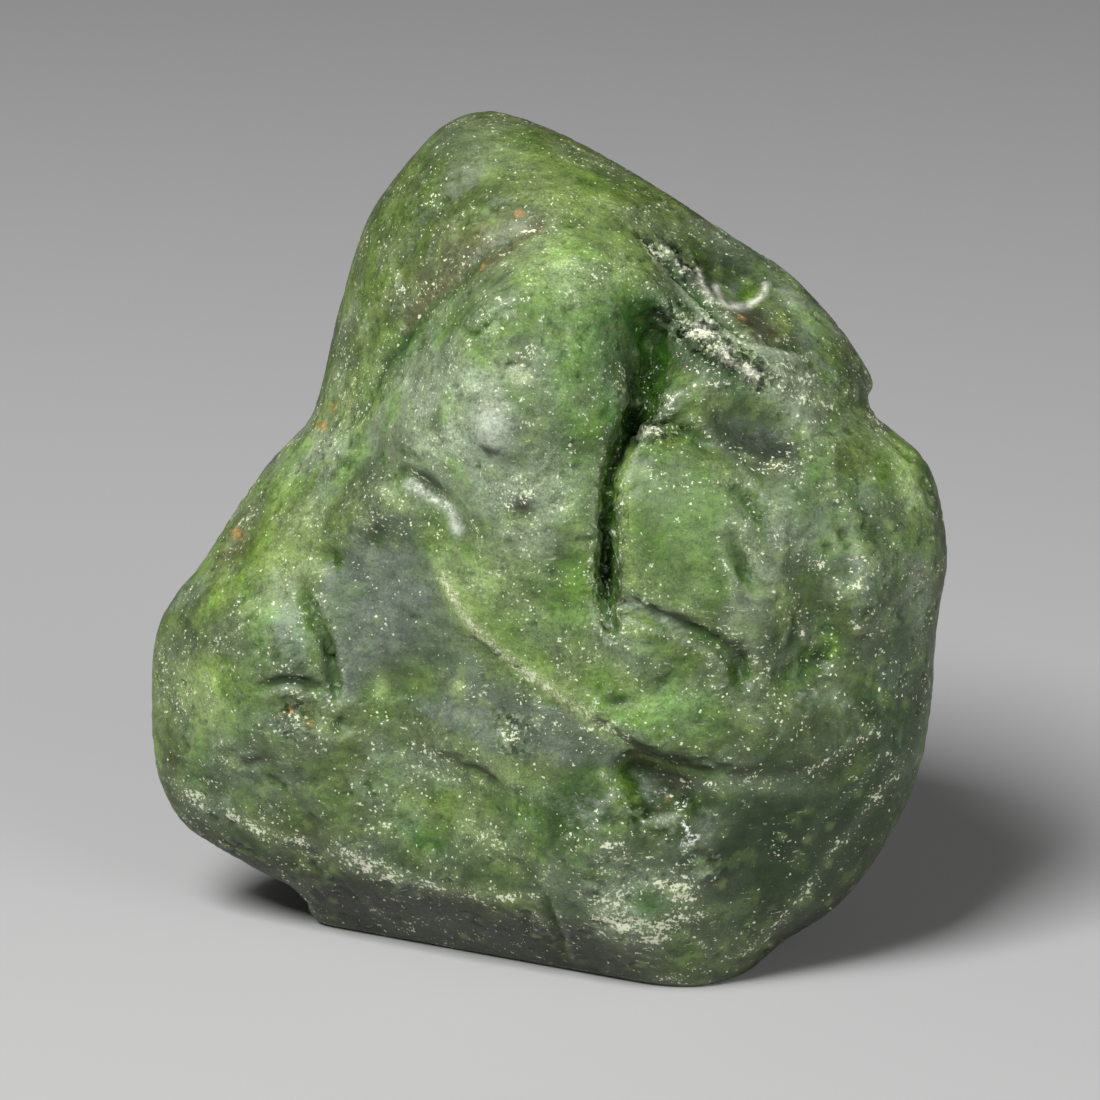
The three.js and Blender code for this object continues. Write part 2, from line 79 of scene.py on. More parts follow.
# The outline, anticlockwise from the right-hand side, as (x, z).
OUTLINE = [
    (13.7, 0), (13.4, 2.35), (12.9, 3.55), (12, 4.4), (11.3, 5), (11.05, 5.65), (11.2, 6.2),
    (10.55, 7.4), (9.8, 8.4), (8.35, 9.95), (6.45, 11.2), (4.5, 12.5), (2.4, 13.8), (0.5, 14.85),
    (-1.05, 15.5), (-2.2, 15.75), (-3.3, 15.5), (-4.4, 14.65), (-5.85, 12.9), (-6.65, 11.45),
    (-7.45, 8.85), (-7.95, 6.7), (-8.3, 5.45), (-8.7, 4.75), (-9.8, 3.65), (-11.1, 1.9), (-12.3, 0),
    (-13.35, -1.25), (-14.05, -2.55), (-14.2, -4.25), (-14, -7.3), (-13.15, -9.1), (-11.9, -10.05),
    (-10.4, -10.9), (-8.9, -11.75), (-7.85, -13.65), (-4.55, -15.35), (0, -16.2), (4.35, -15.95),
    (6.45, -14.6), (8, -13.25), (10, -11.9), (11.65, -9.75), (12.75, -7.35), (13.2, -4.8),
    (13.35, -2.35),
]

# Flat worn faces: the width over which each one's edge is rounded, and three points (x, z, out).
# The faces lie under the relief, and the undercut is worn through it.
UNDERCUT = [
    ("underside", 0.45, [(-9.6, -9.6, 1.7), (0.9, -11.6, 6), (-8, -13.35, -2.6)]),
    ("toe", 1.2, [(2, -12.4, 6.4), (9, -9.2, 6), (5.25, -15, 3.6)]),
]
FACES = [
    ("lower left", 2.5, [(-8.3, -3.15, 4.4), (1.75, -6.3, 7), (-5.25, -10.5, 3.4)]),
    ("back upper", 1.6, [(-6, 9, -5.5), (6, 8, -6.5), (0, -1, -8.6)]),
    ("back left", 1.4, [(-11, -4, -4), (-7, 6, -5), (-4, -7, -8.2)]),
    ("back right", 1.2, [(11.5, -3, -3.5), (8.5, 6, -4), (4, -5, -8.4)]),
]

# Swells and hollows: at (x, z), size along and across, turn in degrees, height, and power of the edge.
FRONT_SWELLS = [
    ("central dome", (-0.9, 5.2), (4.2, 5.2), 8, 1.5, 2),
    ("apex mass", (-2.4, 13.2), (4.6, 2.6), -25, 0.5, 2),
    ("right plateau", (7.4, -0.6), (5, 5.2), 0, 1, 2),
    ("plateau foot", (0.6, -2.2), (4.2, 2.4), -38, 0.5, 2),
    ("pillow", (4.6, 1.25), (2.4, 2.9), 6, 0.6, 5),
    ("green shelf", (5.1, 5.6), (1.6, 1), -25, 0.28, 3),
    ("lower right lobe", (3.4, -12.4), (4, 2.6), 12, 0.9, 2),
    ("left shoulder", (-10.6, -4.2), (2.2, 3.6), 14, 0.6, 3),
    ("left bank", (-9.3, 1), (3.2, 1.9), 48, 0.35, 2),
    ("dark recess", (3.8, 7.1), (1.3, 1.5), -10, -1.3, 3),
    ("upper right bowl", (7, 9.4), (2.5, 1.25), -38, -1.1, 4),
    ("bowl floor", (6.3, 9.7), (1, 0.7), -20, -0.5, 2),
    ("round bowl", (6.6, 9.2), (0.85, 0.65), -25, -0.45, 4),
    ("bowl upper end", (4.6, 11.5), (1.1, 0.6), -30, -0.4, 2),
    ("grey dish", (6.9, 4.5), (1.6, 0.9), -22, -0.55, 3),
    ("right dish", (11.1, 1.1), (0.8, 0.9), 0, -0.45, 2),
    ("right knob", (12.3, 3.2), (1.2, 1.2), 0, 0.5, 2),
    ("rim dent", (10.7, 5.6), (1, 0.5), 15, -0.6, 2),
    ("lower pit", (4.1, -8.7), (1.35, 0.95), -28, -0.7, 3),
    ("lower pit left", (3.2, -8), (0.6, 0.6), 0, -0.5, 2),
    ("lower pit right", (5, -10.1), (0.9, 0.6), 30, -0.35, 3),
    ("glossy bump", (-1.95, 4.5), (0.5, 0.65), 0, 0.25, 2),
    ("left pit", (-7.9, -6.2), (0.45, 0.35), 0, -0.35, 2),
    ("left dish", (-9.8, -5.6), (1.5, 0.7), 0, -0.3, 2),
    ("small pit one", (-6, 0.9), (0.55, 0.4), 35, -0.3, 2),
    ("small pit two", (-7.6, 0.1), (0.45, 0.5), 0, -0.35, 2),
]

# Grooves: power of the wall, and a path of (x, z, half width, depth).
FRONT_GROOVES = [
    ("main cleft", 3, [(2.85, 8.9, 0.6, 0.2), (3.3, 7.6, 0.75, 0.8), (3.3, 6.1, 0.6, 1.3),
     (2.95, 4.9, 0.45, 1.5), (2.45, 3.9, 0.34, 1.2), (2, 2.45, 0.24, 0.9), (1.95, 0.9, 0.28, 1.1),
     (1.95, -0.5, 0.3, 1.2), (2, -1.75, 0.26, 0.7), (2.3, -2.9, 0.22, 0)]),
    ("pillow head", 2, [(2.8, 4.6, 0.4, 0.5), (4, 4.45, 0.35, 0.5), (5.2, 3.9, 0.3, 0.35),
     (6.3, 3.2, 0.3, 0)]),
    ("pillow foot", 2, [(2, -1.2, 0.24, 0.2), (3.5, -1.9, 0.26, 0.45), (4.9, -2.4, 0.26, 0.4),
     (6, -3.1, 0.3, 0.35), (6.5, -3.8, 0.35, 0.45), (6.4, -4.8, 0.3, 0)]),
    ("pillow side", 2, [(5.9, 2.7, 0.3, 0), (6.6, 1.9, 0.35, 0.5), (7.1, 1, 0.35, 0.35),
     (7.2, -1.1, 0.3, 0)]),
    ("pillow fork", 2, [(5.9, 1.1, 0.3, 0), (6.4, -0.1, 0.3, 0.5), (6.95, -1.2, 0.25, 0)]),
    ("right valley", 2, [(7.9, 0.4, 0.5, 0), (8.8, -1.4, 0.6, 0.35), (9.2, -2.8, 0.7, 0.55),
     (8.2, -4, 0.6, 0.5), (6.9, -5.1, 0.5, 0)]),
    ("left crease", 2, [(-8.75, -0.6, 0.2, 0), (-8.5, -1.7, 0.22, 0.35), (-8.1, -3, 0.24, 0.5),
     (-8, -4.6, 0.22, 0.45), (-8, -5.4, 0.2, 0)]),
    ("left cross crease", 2, [(-11.2, -5, 0.2, 0), (-10.4, -4.6, 0.24, 0.35), (-9.4, -4.5, 0.24, 0.4),
     (-8.4, -4.8, 0.2, 0.2), (-7.9, -5, 0.2, 0)]),
    ("curved groove", 2, [(-5.3, 3.2, 0.2, 0), (-4.4, 2.75, 0.25, 0.35), (-3.6, 2, 0.28, 0.45),
     (-3, 1, 0.22, 0)]),
    ("left trough", 2, [(-7.6, 4.9, 0.6, 0), (-5.9, 3.7, 0.7, 0.35), (-4.2, 1.6, 0.6, 0.3),
     (-2.6, 0.2, 0.5, 0)]),
    ("rim trough", 2, [(-9.2, 2.9, 0.5, 0), (-10.5, 1.1, 0.6, 0.7), (-11.7, -0.7, 0.5, 0)]),
    ("apex furrow", 2, [(-0.6, 13.9, 0.5, 0), (-2.8, 12.7, 0.5, 0.3), (-4.6, 10.8, 0.5, 0.3),
     (-5.2, 8.8, 0.5, 0)]),
]

# Ledges: the raised side (1 is left of the path), shoulder, reach, and a path of (x, z, rise).
FRONT_LEDGES = [
    ("left shoulder of the dome", -1, 1, 3.6, [(-9.2, 4.4, 0), (-7.2, 5.2, 0.7), (-5.8, 6.1, 1.2),
     (-4.4, 8, 1.8), (-2.1, 10.1, 1.9), (0.3, 11.3, 0.9), (2.4, 11.7, 0)]),
    ("right shoulder of the dome", -1, 0.8, 2.6, [(-1.4, 11.2, 0), (0.8, 11.5, 0.8), (3.1, 10.8, 1.4),
     (5.3, 8.8, 1.3), (7.4, 7.3, 0.9), (9.9, 6.4, 0)]),
    ("edge of the plateau", 1, 0.35, 3.2, [(-5.2, 0.6, 0), (-4.4, -1, 0.2), (-2.8, -3, 0.3),
     (-1.05, -4.4, 0.35), (0.35, -5.3, 0.4), (1.75, -6.2, 0.45), (3.2, -7.1, 0.6), (5.25, -7.6, 0.5),
     (8.05, -7.5, 0.35), (9.8, -6.8, 0.2), (11.6, -5.9, 0)]),
    ("crystal ledge", 1, 0.3, 1.6, [(4.2, 9.1, 0), (4.9, 8.3, 0.8), (6, 7.3, 1), (7.3, 6.2, 0.8),
     (8.8, 5.2, 0)]),
    ("low step", 1, 0.3, 2.2, [(-5.2, -7.2, 0), (-4.2, -7.6, 0.3), (-2.5, -8.5, 0.4), (-1.6, -9.5, 0.3),
     (-0.4, -10.3, 0)]),
    ("right step", 1, 0.35, 1.8, [(8.6, 3.2, 0), (9.6, 1.8, 0.2), (10.1, 0, 0.3), (9.9, -1.8, 0.2),
     (10.3, -3.4, 0)]),
]

# The back is rounder and calmer.
BACK_SWELLS = [
    ("high cheek", (-3.5, -2), (4.5, 4.5), 0, 0.9, 2),
    ("low cheek", (6.5, -5), (3.5, 4.5), 0, 0.7, 2),
    ("broad hollow", (3.5, 3), (2.6, 3.4), 30, -0.9, 2),
    ("chip", (-7, 2.5), (1.7, 1.2), 40, -0.8, 4),
    ("low chip", (-8.2, -6), (1.4, 0.9), -20, -0.6, 3),
    ("pit", (0.8, -6.4), (0.8, 0.6), 10, -0.6, 3),
    ("high pit", (-2.2, 9.4), (0.9, 0.7), -30, -0.5, 3),
]
BACK_GROOVES = [
    ("long crease", 2, [(-9.6, -1.6, 0.4, 0), (-6.2, -0.2, 0.45, 0.7), (-2.6, 1.8, 0.5, 1.1),
     (0.4, 2.6, 0.45, 0.9), (2.2, 4.8, 0.4, 0.6), (3.4, 7.4, 0.4, 0)]),
    ("crease branch", 2, [(-2.2, 1.9, 0.35, 0.5), (-1.4, -0.8, 0.4, 0.7), (-1.9, -3.8, 0.35, 0.4),
     (-1.2, -5.6, 0.3, 0)]),
    ("low crease", 2, [(3.2, -3.6, 0.4, 0), (5.2, -3, 0.45, 0.6), (7.6, -3.6, 0.4, 0.7),
     (9.6, -5.2, 0.35, 0)]),
]
BACK_LEDGES = [
    ("worn step", 1, 0.4, 3.5, [(-5.8, 9.6, 0), (-3, 7.4, 0.7), (0.2, 6.6, 0.9), (3.8, 7, 0.8),
     (6.8, 8.6, 0)]),
    ("low step", -1, 0.35, 3, [(-9.8, -4.2, 0), (-6.4, -5.4, 0.6), (-3.2, -7.6, 0.7), (0.6, -8.8, 0.6),
     (4.4, -8.2, 0)]),
]

# Unevenness of the whole stone, as fields of waves: seed, wavelength, and height at front and back.
WANDER = (5, 17, 0.7)
GROUND = [
    ("swells", 7, 9, 0.22, 0.5),
    ("lumps", 23, 3.8, 0.13, 0.2),
]
WAVES = 16

# ---- The fine skin over that shape ----
BALL_SPLITS = 8  # how often the ball that the mesh starts from is split
VOXEL = 0.17  # spacing of the mesh
FLOOR_ROUND = 0.35  # how soft the edge of the resting face is worn
RIM_FADE = (-8, 14)  # degrees from the rim between which the display face's marks fade out
NEAR_TIMES = 8  # how often the ground is evened out to find the fine hollows
WIDE_TIMES = 90  # and how often after that, for the wide ones

# Noise fields over the stone: size of the lumps, octaves, and a shift that sets each field apart.
FIELDS = {
    "stray x": (2.2, 3, 7),
    "stray z": (2.2, 3, 19),
    "lumps": (1.7, 3, 3),
    "terraces": (2.6, 2, 41),
    "chips": (0.6, 2, 23),
    "crust": (0.42, 2, 13),
    "crystals": (0.9, 2, 17),
    "cleft walls": (0.7, 3, 11),
    "wet hollows": (0.9, 3, 37),
    "hue": (3.4, 3, 61),
    "dark ground": (2.4, 3, 97),
    "mottling": (1.3, 4, 83),
    "dryness": (1.7, 4, 53),
    "pale clouds": (0.9, 3, 71),
    "dark clouds": (1.2, 3, 47),
    "pecks": (1.1, 3, 29),
}

# How a cause sets in: its strength, and the values of the cause at which it starts and is full.
ONSETS = {
    "off the floor": (1, 0.1, 0.9),
    "step riser": (1, 0.75, 1),
    "chips": (1, 0.36, 0.5),
    "cleft walls": (1, 0.15, 0.7),
    "jade ground": (1, 0, 0.4),
    "moss ground": (1, 0.05, 0.4),
    "dark ground": (0.9, 0.05, 0.4),
    "plateau edge": (0.5, 0, 0.15),
    "side of the edge": (1, 0, 0.5),
    # hollow, deep hollow, cleft and cleft floor set in painted shade in hollows and the cleft
    "hollow": (0.75, 0.02, 0.15),
    "deep hollow": (1, 0.15, 0.4),
    "cleft": (1, 0.3, 0.8),
    "cleft floor": (1, 0.8, 1.3),
    "wet cleft": (1, 0.5, 1.3),
    "bare cleft": (1, 0.6, 1.2),
    "dry": (1, -0.15, 0.4),
    "clear": (1, 0.1, 0.5),
    "pale clouds": (0.3, 0.2, 0.5),
    "dark clouds": (0.5, 0.2, 0.45),
    # fine hollow and crease set in painted shade in fine hollows and creases
    "fine hollow": (0.7, 0.02, 0.07),
    "crease": (0.8, 0.05, 0.2),
    "ridge": (0.25, 0.012, 0.05),
    "frosted ridge": (0.5, 0.01, 0.04),
    # painted shade: sets in how far faces that look down are darkened
    "facing down": (1, 0.3, 0.62),
}

# How far borders stray with the noise, as a share of its two stray fields.
STRAY = {
    "frost": 0.35,
    "peck lines": 0.12,
    "gloss": 0.15,
    "creases": 0.3,
    "plateau edge": 0.1,
    "patches": 0.25,  # for each millimetre of a patch's smaller size
    "zones": 0.12,
    "marks": 0.1,
    "streaks": 0.15,
    "stains": 0.25,
}
MOST_STRAY = 0.5

# How far from its path each of these can show.
LINE_REACH = 1.6
ZONE_REACH = 1
EDGE_REACH = 4

# Heights of the fine relief.
LUMP_HEIGHT = 0.02
STEP_HEIGHT = 0.05
CHIP_DEPTH = 0.08
CRUST_HEIGHT = 0.06
CRYSTAL_HEIGHT = 0.2
WALL_HEIGHT = 0.18
WET_HEIGHT = 0.12
TERRACES = 3.2  # steps for each unit of their field
CALM_RELIEF = 0.8  # the share of the relief that calm ground lacks
CALM_GLOSS = 0.7  # how calm the relief of a wet hollow is

# The polished bump: at (x, z), size, turn; its height, and how its face rises with x and with z.
GLOSSY_BUMP = ((-1.9, 4.4), (0.55, 0.8), 10)
BUMP_HEIGHT = 0.04
BUMP_SLOPE = (-0.1, -0.28)

# Power with which each kind of mark falls off at its border: the higher, the crisper.
CREASE_EDGE = 2
COVER_EDGE = 3
BUMP_EDGE = 6
# the painted highlight on the bump
BUMP_HIGHLIGHT_EDGE = 3
STAIN_EDGE = 4

# How strong each change of the colour is.
MOTTLING = 0.45  # lighter and darker with the noise
DRY_TINT = 0.25  # dry skin is greyer
CLEAR_TINT = 0.45  # clear stone is greener
# painted shade on faces that look down
SHADOW_TINT = 0.85  # faces that look down are darker
STAIN_TINT = 0.9
STAIN_SHAPE = (0.6, 0.5)  # half width and half height of a stain of size 1
CALM_TINT = 0.6  # the share of the changes with the noise that calm ground lacks
BRIGHTNESS = np.array([0.2126, 0.7152, 0.0722])  # what red, green and blue add to it
DRY_FROST = 0.35  # how frosted dry skin is
CALM_SKIN = 0.8  # how calm the fine grain of a wet hollow is

# How thick the pecks lie: everywhere, and more or less with each cause.
PECKS_BASE = 0.1
PECKS_LEAST = 0.03
PECKS_CLUSTERED = 0.75
PECKS_FROST = 0.6
PECKS_CALM = -0.15
PECKS_GLOSS = -0.3
PECKS_DOWN = -0.6

# Fine creases in the display face: a path of (x, z, half width, depth).
CREASES = [
    ("dome's upper left edge", [(-8, 3.9, 0.18, 0), (-6.9, 4.9, 0.2, 0.1), (-5.9, 6, 0.22, 0.15),
     (-5.1, 7.3, 0.22, 0.2), (-4.1, 8.6, 0.2, 0.12), (-2.8, 9.8, 0.2, 0.15), (-1.4, 10.7, 0.2, 0.1),
     (0.3, 11.2, 0.18, 0)]),
    ("dome's upper right edge", [(2.6, 11.5, 0.18, 0), (3.6, 10.8, 0.2, 0.2), (4.8, 9.5, 0.22, 0.35),
     (5.6, 8.5, 0.2, 0.3), (6.6, 7.6, 0.18, 0.15), (7.6, 7.2, 0.16, 0)]),
    ("dome ledgelet", [(-3.6, 8, 0.12, 0), (-2.7, 7.75, 0.14, 0.14), (-1.6, 8.3, 0.14, 0.1),
     (-0.2, 8.45, 0.12, 0)]),
    ("second dome ledgelet", [(0.2, 8.3, 0.12, 0), (1.3, 8.55, 0.14, 0.1), (2.2, 8.3, 0.12, 0)]),
    ("dome chips", [(-1.9, 6.3, 0.12, 0), (-1, 6.5, 0.16, 0.12), (0.2, 5.9, 0.12, 0)]),
    ("facet scratch", [(-5.6, -1.6, 0.1, 0), (-4.9, -1.9, 0.12, 0.1), (-3.9, -2.3, 0.1, 0)]),
    ("plateau green crease", [(1.4, -5.2, 0.14, 0), (2.3, -4.75, 0.18, 0.16), (3.2, -4.6, 0.14, 0)]),
    ("right crack", [(7, 8, 0.12, 0), (7.6, 7.5, 0.16, 0.2), (8.6, 7.3, 0.16, 0.12),
     (9.6, 7.4, 0.12, 0)]),
    ("right fork", [(8, -1.4, 0.16, 0), (8.3, -2.6, 0.2, 0.2), (7.6, -3.6, 0.16, 0)]),
    ("underside crack", [(-0.6, -11, 0.16, 0), (-0.1, -12, 0.18, 0.2), (0.4, -13.2, 0.16, 0.15),
     (0.5, -14.5, 0.12, 0)]),
]

# ---- Curves ----
CURVE_STEPS = 12


def curve_through(rows, closed=False):
    """Points along the Catmull-Rom curve through rows of numbers; every column is carried along."""
    rows = np.array(rows, float)
    last = len(rows) - 1
    shares = (np.arange(CURVE_STEPS) / CURVE_STEPS)[:, None]
    made = []
    for i in range(last + closed):
        near = range(i - 1, i + 3)
        a, b, c, d = (rows[k % len(rows)] if closed else rows[min(max(k, 0), last)] for k in near)
        square = (2 * a - 5 * b + 4 * c - d) * shares**2
        cube = (3 * b - a - 3 * c + d) * shares**3
        made.append(0.5 * (2 * b + (c - a) * shares + square + cube))
    if not closed:
        made.append(rows[last:])
    return np.concatenate(made)


def nearest_on(curve, place):
    """For each place: its distance from the curve, its side (1 is left) and the curve's numbers there."""
    x, z = place.T
    best = np.full(len(x), np.inf)
    side = np.ones(len(x))
    at = np.zeros((len(x), curve.shape[1]))
    for a, b in zip(curve, curve[1:]):
        ux, uz = b[:2] - a[:2]
        share = np.clip(((x - a[0]) * ux + (z - a[1]) * uz) / (ux * ux + uz * uz), 0, 1)
        distance = np.hypot(x - a[0] - share * ux, z - a[1] - share * uz)
        nearer = distance < best
        best[nearer] = distance[nearer]
        side[nearer] = np.where(ux * (z - a[1]) < uz * (x - a[0]), -1, 1)[nearer]
        at[nearer] = a + share[nearer, None] * (b - a)
    return best, side, at


def along(path, place, reach):
    """The places near a curve, and nearest_on for those alone."""
    curve = curve_through(path)
    low = curve[:, :2].min(0) - reach
    high = curve[:, :2].max(0) + reach
    near = np.flatnonzero(((place > low) & (place < high)).all(1))
    return (near, *nearest_on(curve, place[near]))


# ---- The outline as a radius for each direction ----
rim_points = curve_through(OUTLINE, closed=True)
rim_turn = np.arctan2(rim_points[:, 1], rim_points[:, 0])
rim_order = np.argsort(rim_turn)
rim_turn = rim_turn[rim_order]
rim_radius = np.hypot(*rim_points.T)[rim_order]

# The same outline with its dents smoothed away: a mean radius that counts the places near by most.
apart = np.abs(np.pi - np.abs(np.pi - np.abs(rim_turn[:, None] - rim_turn)))
weight = np.exp(-((apart / math.radians(DENT_SPAN)) ** 2))
rim_smooth = weight @ rim_radius / weight.sum(1)


def radius_at(turn, spread):
    """Dents in the rim die away towards the middle of either side."""
    radius = np.interp(turn, rim_turn, rim_radius, period=2 * np.pi)
    smooth = np.interp(turn, rim_turn, rim_smooth, period=2 * np.pi)
    return smooth + (radius - smooth) * spread**DENT_DEPTH


# ---- What is carved into the display face and the back ----
def patch(place, at, size, turn, edge=2):
    """1 in the middle of a turned ellipse, falling away outside it."""
    angle = math.radians(turn)
    x, z = (place - at).T
    across = np.hypot(
        (x * math.cos(angle) + z * math.sin(angle)) / size[0],
        (z * math.cos(angle) - x * math.sin(angle)) / size[1],
    )
    return np.exp(-(across**edge))


def groove_depth(place, edge, path):
    depth = np.zeros(len(place))
    reach = 3 * max(row[2] for row in path)
    near, distance, _, at = along(path, place, reach)
    depth[near] = np.maximum(at[:, 3], 0) * np.exp(-((distance / at[:, 2]) ** edge))
    return depth


def ledge_rise(place, raised, shoulder, reach, path):
    rise = np.zeros(len(place))
    near, distance, side, at = along(path, place, 2.6 * reach)
    height = np.maximum(at[:, 2], 0) * (1 - np.exp(-((distance / shoulder) ** 1.5)))
    rise[near] = (side == raised) * height * np.exp(-((distance / reach) ** 2))
    return rise


def carving(place, swells, grooves, ledges):
    """How far each place is raised, and how deep the grooves are there."""
    depth = np.zeros(len(place))
    raised = np.zeros(len(place))
    for _, at, size, turn, height, edge in swells:
        raised += height * patch(place, at, size, turn, edge)
    for _, edge, path in grooves:
        depth += groove_depth(place, edge, path)
    for _, *ledge in ledges:
        raised += ledge_rise(place, *ledge)
    return raised - depth, depth


# ---- Flat faces and uneven ground ----
def wear_to(planes, points):
    """Draws points in towards the middle wherever they stand past a flat face, with a rounded edge."""
    for _, rounded, corners in planes:
        a, b, c = np.array([(x, -out, z) for x, z, out in corners])
        normal = np.cross(b - a, c - a)
        normal *= np.sign(normal @ a) / np.linalg.norm(normal)
        reach = points @ normal
        past = reach - normal @ a
        taken = np.where(past < rounded, np.maximum(past + rounded, 0) ** 2 / (4 * rounded), past)
        share = np.divide(taken, reach, out=np.zeros_like(reach), where=taken > 0)
        points = points * (1 - share)[:, None]
    return points


def sequence(seed):
    """A fixed sequence of numbers from 0 to 1."""
    while True:
        seed = seed * 16807 % 2147483647
        yield seed / 2147483647


def waves(points, seed, wavelength):
    """A field of waves that run in all directions. It is about 1 high."""
    draws = sequence(seed)
    total = np.zeros(len(points))
    for _ in range(WAVES):
        up = 2 * next(draws) - 1
        turn = 2 * math.pi * next(draws)
        level = math.sqrt(1 - up * up)
        rate = 2 * math.pi / (wavelength * (0.75 + 0.5 * next(draws)))
        run = rate * np.array([level * math.cos(turn), level * math.sin(turn), up])
        total += np.sin(points @ run + 2 * math.pi * next(draws))
    return math.sqrt(2 / WAVES) * total


# ---- The pebble ----
def surface(direction):
    """For each direction from the middle: the place on the surface, and how deep the grooves are there."""
    rim_angle = math.radians(RIM_ANGLE)
    polar = np.arccos(np.clip(-direction[:, 1], -1, 1))
    at_front = polar <= rim_angle
    share = np.where(at_front, polar / rim_angle, (np.pi - polar) / (np.pi - rim_angle))
    spread = np.sin(share * np.pi / 2)
    turn = np.arctan2(direction[:, 2], direction[:, 0])
    radius = spread * radius_at(turn, spread)
    points = np.stack([radius * np.cos(turn), np.zeros(len(turn)), radius * np.sin(turn)], 1)

    fill = np.sqrt(np.maximum(1 - spread**RIM_ROUND, 0))
    middle = TURN_OUT * points[:, 0] - TIP_BACK * points[:, 2] + WANDER[2] * waves(points, *WANDER[:2])
    place = points[:, [0, 2]]
    front, front_depth = carving(place, FRONT_SWELLS, FRONT_GROOVES, FRONT_LEDGES)
    back, back_depth = carving(place, BACK_SWELLS, BACK_GROOVES, BACK_LEDGES)
    points[:, 1] = -middle - np.where(at_front, FRONT_THICK, -BACK_THICK) * fill
    points = wear_to(FACES, points)

    for _, seed, wavelength, front_height, back_height in GROUND:
        field = waves(points, seed, wavelength)
        front += front_height * field
        back += back_height * field
    calm = 1 - spread**RIM_CALM
    points[:, 1] -= np.where(at_front, front, -back) * calm
    return wear_to(UNDERCUT, points), np.where(at_front, front_depth, back_depth) * calm


LEANING = np.array(Matrix.Rotation(math.radians(-LEAN), 3, "X"))


def rest(points):
    """Leans points back and stands them on the floor, where the stone is worn off flat with a soft edge."""
    points = points @ LEANING.T + [0, 0, FLOOR_DROP]
    height = points[:, 2]
    soft = np.maximum(height + FLOOR_ROUND, 0) ** 2 / (4 * FLOOR_ROUND)
    points[:, 2] = np.where(height < FLOOR_ROUND, soft, height)
    return points


def numbers(items, name, width=3, kind=float):
    """One property of all of a mesh's corners, edges or loops, as rows."""
    total = len(items) if name == "vertex_index" else len(items) * width
    values = np.empty(total, kind)
    items.foreach_get(name, values)
    return values.reshape(-1, width)


def corner_normals(mesh):
    values = np.empty(len(mesh.vertices) * 3)
    mesh.update()
    mesh.vertex_normals.foreach_get("vector", values)
    return values.reshape(-1, 3)


def even_mesh(points, ball):
    """The same surface on evenly spaced corners, and the ball's triangle that each corner lies on."""
    ball.data.vertices.foreach_set("co", points.ravel())
    remesh = ball.modifiers.new("even", "REMESH")
    remesh.mode = "VOXEL"
    remesh.voxel_size = VOXEL
    depsgraph = bpy.context.evaluated_depsgraph_get()
    mesh = bpy.data.meshes.new_from_object(ball.evaluated_get(depsgraph))
    triangles = numbers(ball.data.loops, "vertex_index", 3, int)
    tree = BVHTree.FromPolygons(points.tolist(), triangles.tolist(), all_triangles=True)
    found = [tree.find_nearest(place) for place in numbers(mesh.vertices, "co").tolist()]
    mesh.vertices.foreach_set("co", [value for place, *_ in found for value in place])
    return mesh, triangles[[index for _, _, index, _ in found]]


def carried(points, corners, source, values):
    """Values at the source's corners, carried to points that lie on its triangles."""
    a, b, c = source[corners].transpose(1, 0, 2)
    area = np.cross(b - a, c - a)
    whole = (area**2).sum(1)
    share_b = (np.cross(points - a, c - a) * area).sum(1) / whole
    share_c = (np.cross(b - a, points - a) * area).sum(1) / whole
    shares = np.clip(np.stack([1 - share_b - share_c, share_b, share_c], 1), 0, 1)
    return (values[corners] * shares).sum(1)


def field(points, name):
    """One of the noise fields at each point, mostly from -1 to 1."""
    size, octaves, shift = FIELDS[name]
    places = (points / size + shift).tolist()
    return np.array([noise.fractal(place, 1.0, 2.0, octaves) for place in places])


def smoothstep(low, high, value):
    share = np.clip((value - low) / (high - low), 0, 1)
    return share * share * (3 - 2 * share)


def onset(name, cause):
    """How far an effect has set in at each value of its cause."""
    strength, low, high = ONSETS[name]
    return strength * smoothstep(low, high, cause)


class Smoother:
    """Evens values out over a mesh, from each corner to those beside it."""

    def __init__(self, mesh):
        edges = numbers(mesh.edges, "vertices", 2, int)
        self.ends = np.concatenate([edges, edges[:, ::-1]])
        self.count = len(mesh.vertices)
        self.beside = np.bincount(self.ends[:, 0], minlength=self.count)

    def __call__(self, values, times):
        for _ in range(times):
            taken = values[self.ends[:, 1]]
            mean = [np.bincount(self.ends[:, 0], column, self.count) / self.beside for column in taken.T]
            values = 0.5 * (values + np.stack(mean, 1))
        return values


# ---- The stone's greens, as they look in full light ----
SHADES = {
    "apple": (108, 126, 52),
    "bottle": (60, 77, 44),
    # white crystal, and also painted highlights in the upper right bowl
    "chalk": (208, 210, 192),
    # painted shade for hollows, the cleft, grooves and creases
    "deep": (42, 72, 20),
    # painted shade in the foot of the upper right bowl
    "earth": (58, 58, 32),
    "emerald": (50, 98, 26),
    "fern": (134, 158, 84),
    # also painted highlight on the polished bump and along the curved groove's wall
    "frosted": (176, 184, 166),
    "forest": (33, 54, 18),
    "grass": (86, 118, 48),
    "haze": (152, 166, 138),
    "iron": (46, 55, 42),
    "jade": (108, 127, 96),
    "leaf": (102, 144, 62),
    "lime": (116, 138, 62),
    "mist": (136, 149, 122),
    "moss": (94, 114, 58),
    "murk": (68, 82, 58),
    "olive": (76, 90, 42),
    "pale": (180, 194, 136),
    "rust": (178, 132, 62),
    # painted shade, for the underside and for pits, holes and hollows
    "shadow": (34, 35, 23),
    "slate": (97, 108, 94),
    "sprout": (148, 174, 104),
    "teal": (88, 114, 98),
    "umber": (80, 78, 38),
    "vivid": (78, 110, 28),
}

